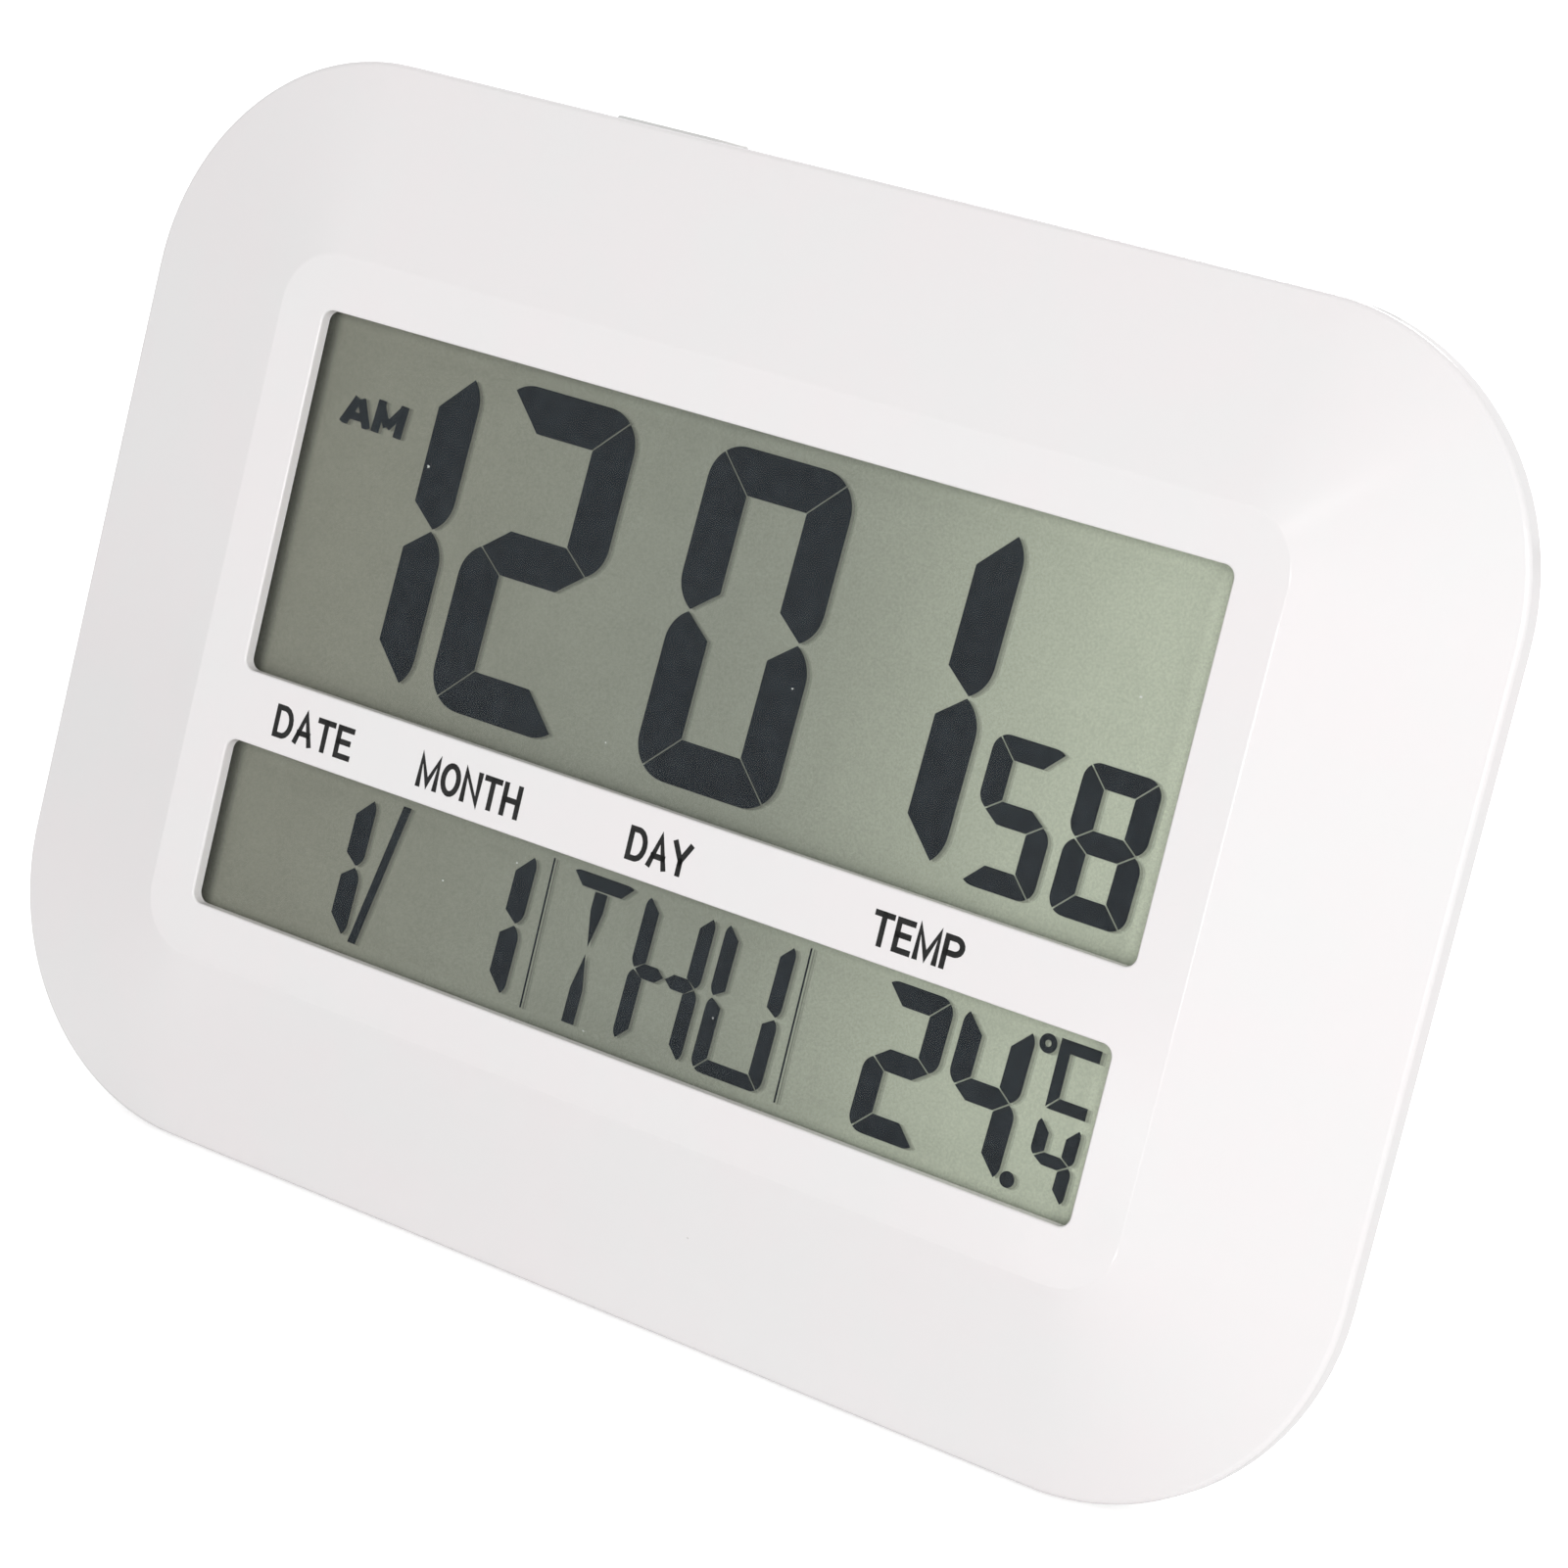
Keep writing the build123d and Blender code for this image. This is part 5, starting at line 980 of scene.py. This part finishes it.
@dataclass(frozen=True)
class Word:
    """Plain sans lettering fitted to a box on the clock's front or back."""

    name: str
    text: str
    left: float
    right: float
    foot: float
    top: float
    level: float
    side: Side = Side.FRONT
    thickness: float = 0.00003
    stroke: float = 0.00098
    gap: float = 0.48
    sharpest_mitre: float = 0.4
    longest_mitre: float = 2.2
    same_point: float = 0.1

    def mesh(self, placement: Placement) -> bpy.types.Mesh:
        """Builds the letters as thin raised strokes.

        Args:
            placement: The clock's placement.

        Returns:
            The letters' mesh, in the table's directions.
        """
        shares = [Alphabet.WIDE.get(letter, 1.0) for letter in self.text]
        unit = (self.right - self.left - self.stroke) / (sum(shares) + self.gap * (len(shares) - 1))
        rise = self.top - self.foot - self.stroke
        half = self.stroke / 2
        points: list[Vector] = []
        faces: list[tuple[int, ...]] = []
        start = half
        for letter, share in zip(self.text, shares):
            for stroke in Alphabet.STROKES[letter]:
                line = [Vector((start + x * share * unit, half + z * rise)) for x, z in stroke]
                self.ribbon(line, points, faces)
            start += (share + self.gap) * unit
        return mesh_of(self.name, [self.on_clock(point, placement) for point in points], faces)

    def ribbon(
        self, line: list[Vector], points: list[Vector], faces: list[tuple[int, ...]]
    ) -> None:
        """Adds a flat bar of the stroke's width along a line, mitred at its corners.

        Args:
            line: Middle line of the stroke, in the word's plane.
            points: Points so far, to be added to: across, up and out of the surface.
            faces: Faces so far, to be added to.
        """
        half = self.stroke / 2
        closed = (line[0] - line[-1]).length < self.same_point * self.stroke
        if closed:
            line = line[:-1]
        first = len(points)
        count = len(line)
        for place, here in enumerate(line):
            before = line[place - 1] if place or closed else None
            after = line[(place + 1) % count] if place < count - 1 or closed else None
            runs = []
            if before:
                runs.append((here - before).normalized())
            if after:
                runs.append((after - here).normalized())
            along = sum(runs, Vector((0.0, 0.0))).normalized()
            across = Vector((-along.y, along.x))
            turned = abs(across.dot(Vector((-runs[0].y, runs[0].x))))
            mitre = min(1.0 / max(turned, self.sharpest_mitre), self.longest_mitre)
            tip = 0.0 if before and after else (half if before else -half)
            for side in (-1.0, 1.0):
                flat = here + across * (side * mitre * half) + along * tip
                points += [Vector((*flat, 0.0)), Vector((*flat, self.thickness))]
        for place in range(count if closed else count - 1):
            a, b = first + 4 * place, first + 4 * ((place + 1) % count)
            faces += [(a + 1, a + 3, b + 3, b + 1), (a, b, b + 2, a + 2)]
            faces += [(a, a + 1, b + 1, b), (a + 2, b + 2, b + 3, a + 3)]
        if not closed:
            last = first + 4 * (count - 1)
            faces.append((first, first + 2, first + 3, first + 1))
            faces.append((last, last + 1, last + 3, last + 2))

    def on_clock(self, point: Vector, placement: Placement) -> Vector:
        """Puts a point of the word on the clock.

        Args:
            point: Across, up and out of the surface, from the word's lower left corner.
            placement: The clock's placement.

        Returns:
            The point on the table.
        """
        height = self.foot + point.y
        if self.side is Side.FRONT:
            return placement.point(self.left + point.x, self.level - point.z, height)
        return placement.point(self.right - point.x, self.level + point.z, height)


@dataclass
class FrontCase(Assembly):
    """Glossy white front with its raised panel, and the words printed between the windows."""

    looks: Looks = (
        (
            MouldedPlastic(
                "glossy_white_front", (0.868, 0.845, 0.848), 0.12, depth=0.000001, grain=900.0,
                ripple=1.2, dust_share=0.006, warm=(1.008, 0.995, 0.996),
                cool=(0.992, 1.003, 0.999),
            ),
            ("front_shell",),
        ),
    )
    ink: Ink = Ink("black_print", (0.008, 0.008, 0.008), (0.02, 0.02, 0.02), 0.45)
    word_top: float = -0.0146
    word_foot: float = -0.0203
    words: tuple[tuple[str, float, float], ...] = (
        ("DATE", -0.0796, -0.0626),
        ("MONTH", -0.0483, -0.0268),
        ("DAY", -0.0048, 0.0077),
        ("TEMP", 0.0429, 0.0599),
    )

    def build(self) -> None:
        """Dresses the shell and prints the words."""
        super().build()
        for text, left, right in self.words:
            name = f"print_{text.lower()}"
            word = Word(name, text, left, right, self.word_foot, self.word_top, 0.0)
            self.shop.add(word.mesh(self.shop.placement), self.ink, Body.CASE, "case_white")


@dataclass(frozen=True)
class FigureShadow:
    """Thin sheet that stands for the figures' shadow: shift to the right, level, light left."""

    shift: float
    level: float
    tone: float


@dataclass
class Display(Assembly):
    """Liquid crystal display: ground, figures with their shadow, glasses, film, seal and gasket."""

    looks: Looks = (
        (Ink("dark_crystal", (0.010, 0.013, 0.018), (0.016, 0.021, 0.027), 0.5, specular=0.1),
         ("lcd_segments",)),
        (Pane("display_glass", (0.55, 0.6, 0.57), 0.006, 0.08), ("lcd_front_glass",)),
        (Pane("anti_glare_film", (0.5, 0.54, 0.5), 0.01, 0.42, haze=0.006), ("front_polariser",)),
        (Matt("edge_sealant", (0.5, 0.47, 0.40), (0.76, 0.715, 0.61), 0.6), ("lcd_edge_seal",)),
        (Matt("black_foam", (0.018, 0.018, 0.02), (0.037, 0.037, 0.04), 0.9, grain=3200.0),
         ("lcd_gasket",)),
        (Matt("connector_silicone", (0.62, 0.36, 0.36), (0.94, 0.55, 0.55), 0.7),
         ("zebra_strip",)),
        (MouldedPlastic("white_carrier", (0.76, 0.76, 0.74), 0.5, dust_share=0.01),
         ("lcd_carrier",)),
    )
    # The ground's colours run paler to the right as painted light.
    ground: DisplayGround = DisplayGround(
        "grey_green_ground", (0.246, 0.252, 0.203), (0.267, 0.286, 0.234), (0.478, 0.526, 0.411),
        half_width=0.0886, edges=(0.0522, -0.023, -0.0522),
    )
    shadows: tuple[FigureShadow, ...] = (
        FigureShadow(0.0006, 0.003592, 0.56), FigureShadow(0.001, 0.003596, 0.77),
    )
    shadow_drop: float = 0.00008
    facing_least: float = 0.9

    def build(self) -> None:
        """Dresses the display's layers and lays the figures' shadow on the ground."""
        super().build()
        self.shop.dress(self.ground, "lcd_rear_glass", "rear_reflector")
        for number, shadow in enumerate(self.shadows):
            finish = self.ground.darkened(f"figure_shadow_{number}", shadow.tone)
            mesh = self.shadow_mesh(finish.name, shadow)
            self.shop.add(mesh, finish, Body.CASE, "segment_dark")

    def shadow_mesh(self, name: str, shadow: FigureShadow) -> bpy.types.Mesh:
        """Copies the figures' front faces onto the ground, a little to the side.

        Args:
            name: Name of the mesh.
            shadow: Where it falls.

        Returns:
            The shadow's mesh, a thin sheet just above the ground.
        """
        placement = self.shop.placement
        back = placement.matrix.inverted()
        facing = placement.direction(0.0, -1.0, 0.0)
        source = self.shop.frame["nodes"]["lcd_segments"].data
        points: list[Vector] = []
        faces: list[tuple[int, ...]] = []
        number: dict[int, int] = {}
        for face in source.polygons:
            if face.normal.dot(facing) < self.facing_least:
                continue
            for index in face.vertices:
                if index not in number:
                    local = back @ source.vertices[index].co
                    across, height = local.x + shadow.shift, local.z - self.shadow_drop
                    number[index] = len(points)
                    points.append(placement.point(across, shadow.level, height))
            faces.append(tuple(number[index] for index in face.vertices))
        return mesh_of(name, points, faces)


@dataclass
class RearCase(Assembly):
    """Textured back cover with its keys, slider, snooze bar, hanger, screws and legends."""

    looks: Looks = (
        (TEXTURED, ("rear_cover",)),
        (MouldedPlastic("satin_white_keys", (0.74, 0.74, 0.73), 0.38, dust_share=0.01),
         (*(f"key_{name}" for name in KEYS), "snooze_bar")),
        (MouldedPlastic("black_acetal", (0.02, 0.02, 0.021), 0.4, warm=(1.2, 1.15, 1.1),
                        cool=(0.9, 0.95, 1.0), rub_colour=(3.0, 3.0, 3.0), dust_share=0.04),
         ("alarm_slider", "alarm_switch_body", "key_switches", "snooze_switch",
          *(f"plunger_{name}" for name in (*KEYS, "snooze")))),
        (Metal("zinc_steel", (0.56, 0.57, 0.58), (0.42, 0.41, 0.39), 0.34),
         ("case_screws", "hanger_plate", "hanger_screws", "board_screws", "carrier_screws")),
    )
    ink: Ink = Ink("grey_print", (0.10, 0.10, 0.105), (0.16, 0.16, 0.165), 0.6, specular=0.2)
    letter_height: float = 0.0026
    letter_width: float = 0.0021
    letter_stroke: float = 0.00036
    key_rise: float = 0.0075
    off_shift: Span = (-0.0085, -0.0013)
    on_shift: Span = (0.0112, -0.0013)

    def build(self) -> None:
        """Dresses the rear pieces and prints the legends."""
        super().build()
        for name in KEYS:
            self.legend(name, f"key_{name}", (0.0, self.key_rise))
        self.legend("off", "alarm_slider", self.off_shift)
        self.legend("on", "alarm_slider", self.on_shift)

    def legend(self, text: str, node: str, shift: Span) -> None:
        """Prints a plain word on the back.

        Args:
            text: The word, in lower case.
            node: The piece that it names.
            shift: From that piece's middle to the middle of the word's foot, across and up.
        """
        place = self.shop.placement.centre_of(node)
        middle, foot = place.x + shift[0], place.z + shift[1]
        half = len(text) * self.letter_width / 2
        word = Word(
            f"legend_{text}", text.upper(), middle - half, middle + half, foot,
            foot + self.letter_height, COVER_LEVEL, Side.BACK, stroke=self.letter_stroke,
        )
        self.shop.add(word.mesh(self.shop.placement), self.ink, Body.CASE, "cover_white")


@dataclass
class Electronics(Assembly):
    """Boards, chip, crystal, capacitors, thermistor, sounder and leads."""

    looks: Looks = (
        (SolderMask("solder_mask"), ("main_board", "snooze_board")),
        (Matt("black_resin", (0.012, 0.012, 0.013), (0.028, 0.028, 0.0295), 0.3, grain=300.0),
         ("chip_blob", "thermistor")),
        (Metal("crystal_can", (0.66, 0.65, 0.62), (0.5, 0.49, 0.46), 0.26), ("crystal_can",)),
        (jacket("shrunk_sleeve", (0.018, 0.02, 0.07), 0.3), ("capacitors",)),
        (MouldedPlastic("black_sounder", (0.02, 0.02, 0.02), 0.5), ("sounder_case",)),
        (Metal("sounder_brass", (0.72, 0.54, 0.25), (0.5, 0.36, 0.16), 0.3), ("sounder_disc",)),
        (jacket("grey_lead", (0.3, 0.3, 0.31), 0.45), ("sounder_leads", "snooze_leads")),
        (jacket("red_lead", (0.5, 0.02, 0.015), 0.42), ("lead_positive",)),
        (jacket("black_lead", (0.015, 0.015, 0.015), 0.42), ("lead_negative",)),
    )


@dataclass
class BatteryBay(Assembly):
    """Door, two cells and their contacts."""

    looks: Looks = (
        (replace(TEXTURED, name="textured_white_door", colour=(0.79, 0.79, 0.78)),
         ("battery_door",)),
        (Metal("nickel_steel", (0.70, 0.68, 0.63), (0.52, 0.5, 0.45), 0.24),
         ("contact_springs", "contact_plates")),
    )
    ink: Ink = Ink("pale_grey_print", (0.22, 0.22, 0.225), (0.30, 0.30, 0.305), 0.6, specular=0.2)
    door_face: float = 0.02792
    word_half_width: float = 0.00625
    word_half_height: float = 0.0015
    word_stroke: float = 0.00042
    plus_ends: tuple[tuple[str, float], ...] = (("cell_upper", 1.0), ("cell_lower", -1.0))

    def build(self) -> None:
        """Dresses the door, the contacts and both cells, and prints the door's word."""
        super().build()
        place = self.shop.placement.centre_of("battery_door")
        wide, high = self.word_half_width, self.word_half_height
        word = Word(
            "door_open_mark", "OPEN", place.x - wide, place.x + wide, place.z - high,
            place.z + high, self.door_face, Side.BACK, stroke=self.word_stroke,
        )
        self.shop.add(word.mesh(self.shop.placement), self.ink, Body.DOOR, "cover_white")
        for node, plus in self.plus_ends:
            low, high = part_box(node)
            middle, half = (low.x + high.x) / 2, (high.x - low.x) / 2
            self.shop.dress(CellSleeve(f"sleeve_{node}", middle, half, plus), node)


@dataclass
class Stand(Assembly):
    """Fold-out leg with its pins and rubber pad."""

    looks: Looks = (
        (replace(TEXTURED, name="textured_white_leg", colour=(0.79, 0.79, 0.78), roughness=0.52),
         ("stand_leg",)),
        (Metal("pin_steel", (0.6, 0.6, 0.6), (0.45, 0.44, 0.43), 0.28), ("stand_pins",)),
        (Matt("grey_rubber_pad", (0.10, 0.10, 0.10), (0.16, 0.16, 0.16), 0.85), ("stand_pad",)),
    )


@dataclass(frozen=True)
class SoftBox:
    """Rectangular area lamp, placed by a direction of the clock and aimed at it."""

    name: str
    toward: tuple[float, float, float]
    distance: float
    width: float
    height: float
    level: float

    def hang(self, placement: Placement) -> None:
        """Hangs the lamp so that it lights the clock's middle to its level.

        Args:
            placement: The clock's placement.
        """
        light = bpy.data.lights.new(self.name, "AREA")
        light.shape = "RECTANGLE"
        light.size = self.width
        light.size_y = self.height
        light.energy = self.level * (math.pi * self.distance) ** 2
        lamp = set_out(self.name, light)
        toward = placement.direction(*self.toward)
        lamp.location = placement.matrix.translation + toward * self.distance
        lamp.rotation_euler = toward.to_track_quat("Z", "Y").to_euler()


@dataclass(frozen=True)
class Paper(Finish):
    """Pale floor paper that shows white to the camera and keeps the clock's shadow."""

    dark: Colour = (0.86, 0.86, 0.86)
    pale: Colour = (0.9, 0.9, 0.9)
    grain: float = 900.0
    rough: Span = (0.8, 0.95)
    specular: float = 0.1
    glow: float = 0.5

    def paint(self, coat: Coat) -> None:
        """Builds the paper's nodes.

        Args:
            coat: The material under construction.
        """
        grain = coat.noise(coat.place(), self.grain, detail=4.0)
        seen = coat.add("ShaderNodeLightPath").outputs["Is Camera Ray"]
        coat.shade(
            Base_Color=coat.blend(grain, self.dark, self.pale),
            Roughness=coat.span(grain, *NOISE_SPAN, *self.rough),
            Specular_IOR_Level=self.specular,
            Emission_Color=WHITE,
            Emission_Strength=coat.math("MULTIPLY", seen, self.glow),
        )


@dataclass
class Studio:
    """Camera of the photograph, pale floor, white surroundings and soft lamps."""

    shop: Workshop
    paper: Paper = Paper("studio_paper")
    eye: tuple[float, float, float] = (0.38483, -0.61578, 0.09899)
    right: tuple[float, float, float] = (0.8202, 0.5221, 0.2338)
    up: tuple[float, float, float] = (-0.2714, -0.0048, 0.9625)
    lens: float = 104.53
    sensor: float = 36.0
    floor_size: float = 8.0
    ambient: float = 0.59
    lamps: tuple[SoftBox, ...] = (
        SoftBox("key_lamp", (0.70, -0.70, 0.12), 1.6, 0.8, 0.8, 0.435),
        SoftBox("edge_lamp", (-0.139, -0.98, -0.16), 1.5, 0.14, 0.55, 0.05),
        SoftBox("corner_lamp", (-0.08, -0.95, 0.29), 1.5, 0.14, 0.14, 0.004),
        SoftBox("panel_lamp", (-0.363, -0.903, -0.229), 1.5, 0.04, 0.14, 0.002),
        SoftBox("back_lamp", (-0.2, 0.68, 0.71), 1.6, 0.8, 0.8, 0.42),
    )

    def build(self) -> None:
        """Sets up camera, floor, world and lamps."""
        scene = bpy.context.scene
        scene.view_settings.view_transform = "Standard"
        scene.camera = self.camera()
        self.floor()
        self.surroundings(scene)
        for lamp in self.lamps:
            lamp.hang(self.shop.placement)
            log.info("hung %s", lamp.name)

    def camera(self) -> bpy.types.Object:
        """Makes the camera at the photograph's place and angle.

        Returns:
            The camera object.
        """
        lens = bpy.data.cameras.new("photo_camera")
        lens.lens = self.lens
        lens.sensor_width = self.sensor
        camera = set_out("photo_camera", lens)
        placement = self.shop.placement
        right = placement.direction(*self.right)
        back = right.cross(placement.direction(*self.up)).normalized()
        turn = Matrix((right, back.cross(right), back)).transposed().to_4x4()
        camera.matrix_world = Matrix.Translation(placement.point(*self.eye)) @ turn
        return camera

    def floor(self) -> None:
        """Lays the pale floor under the clock."""
        half = self.floor_size / 2
        edge = [(-half, -half, 0.0), (half, -half, 0.0), (half, half, 0.0), (-half, half, 0.0)]
        mesh = mesh_of("studio_floor", edge, [(0, 1, 2, 3)])
        mesh.materials.append(self.shop.material(self.paper))
        set_out("studio_floor", mesh)

    def surroundings(self, scene: bpy.types.Scene) -> None:
        """Makes the world white where it is seen or mirrored, and a plain soft light elsewhere.

        Args:
            scene: The scene to light.
        """
        world = bpy.data.worlds.new("white_room")
        world.use_nodes = True
        scene.world = world
        nodes = NodeTree(world.node_tree)
        rays = nodes.add("ShaderNodeLightPath").outputs
        shown = nodes.math("MAXIMUM", rays["Is Camera Ray"], rays["Is Glossy Ray"])
        shown = nodes.math("MAXIMUM", shown, rays["Is Transmission Ray"])
        strength = nodes.math("MULTIPLY_ADD", shown, 1.0 - self.ambient, self.ambient)
        nodes.fill(nodes.ready("BACKGROUND"), {"Color": WHITE, "Strength": strength})


def main() -> None:
    """Builds the clock's dressed sub-assemblies and the studio, in order."""
    logging.basicConfig(level=logging.INFO, format="%(name)s: %(message)s")
    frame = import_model()
    shop = Workshop(frame, Placement.from_frame(frame), Effects())
    for assembly in (FrontCase, Display, RearCase, Electronics, BatteryBay, Stand, Studio):
        assembly(shop).build()
        log.info("finished %s", assembly.__name__)


if __name__ == "__main__":
    main()
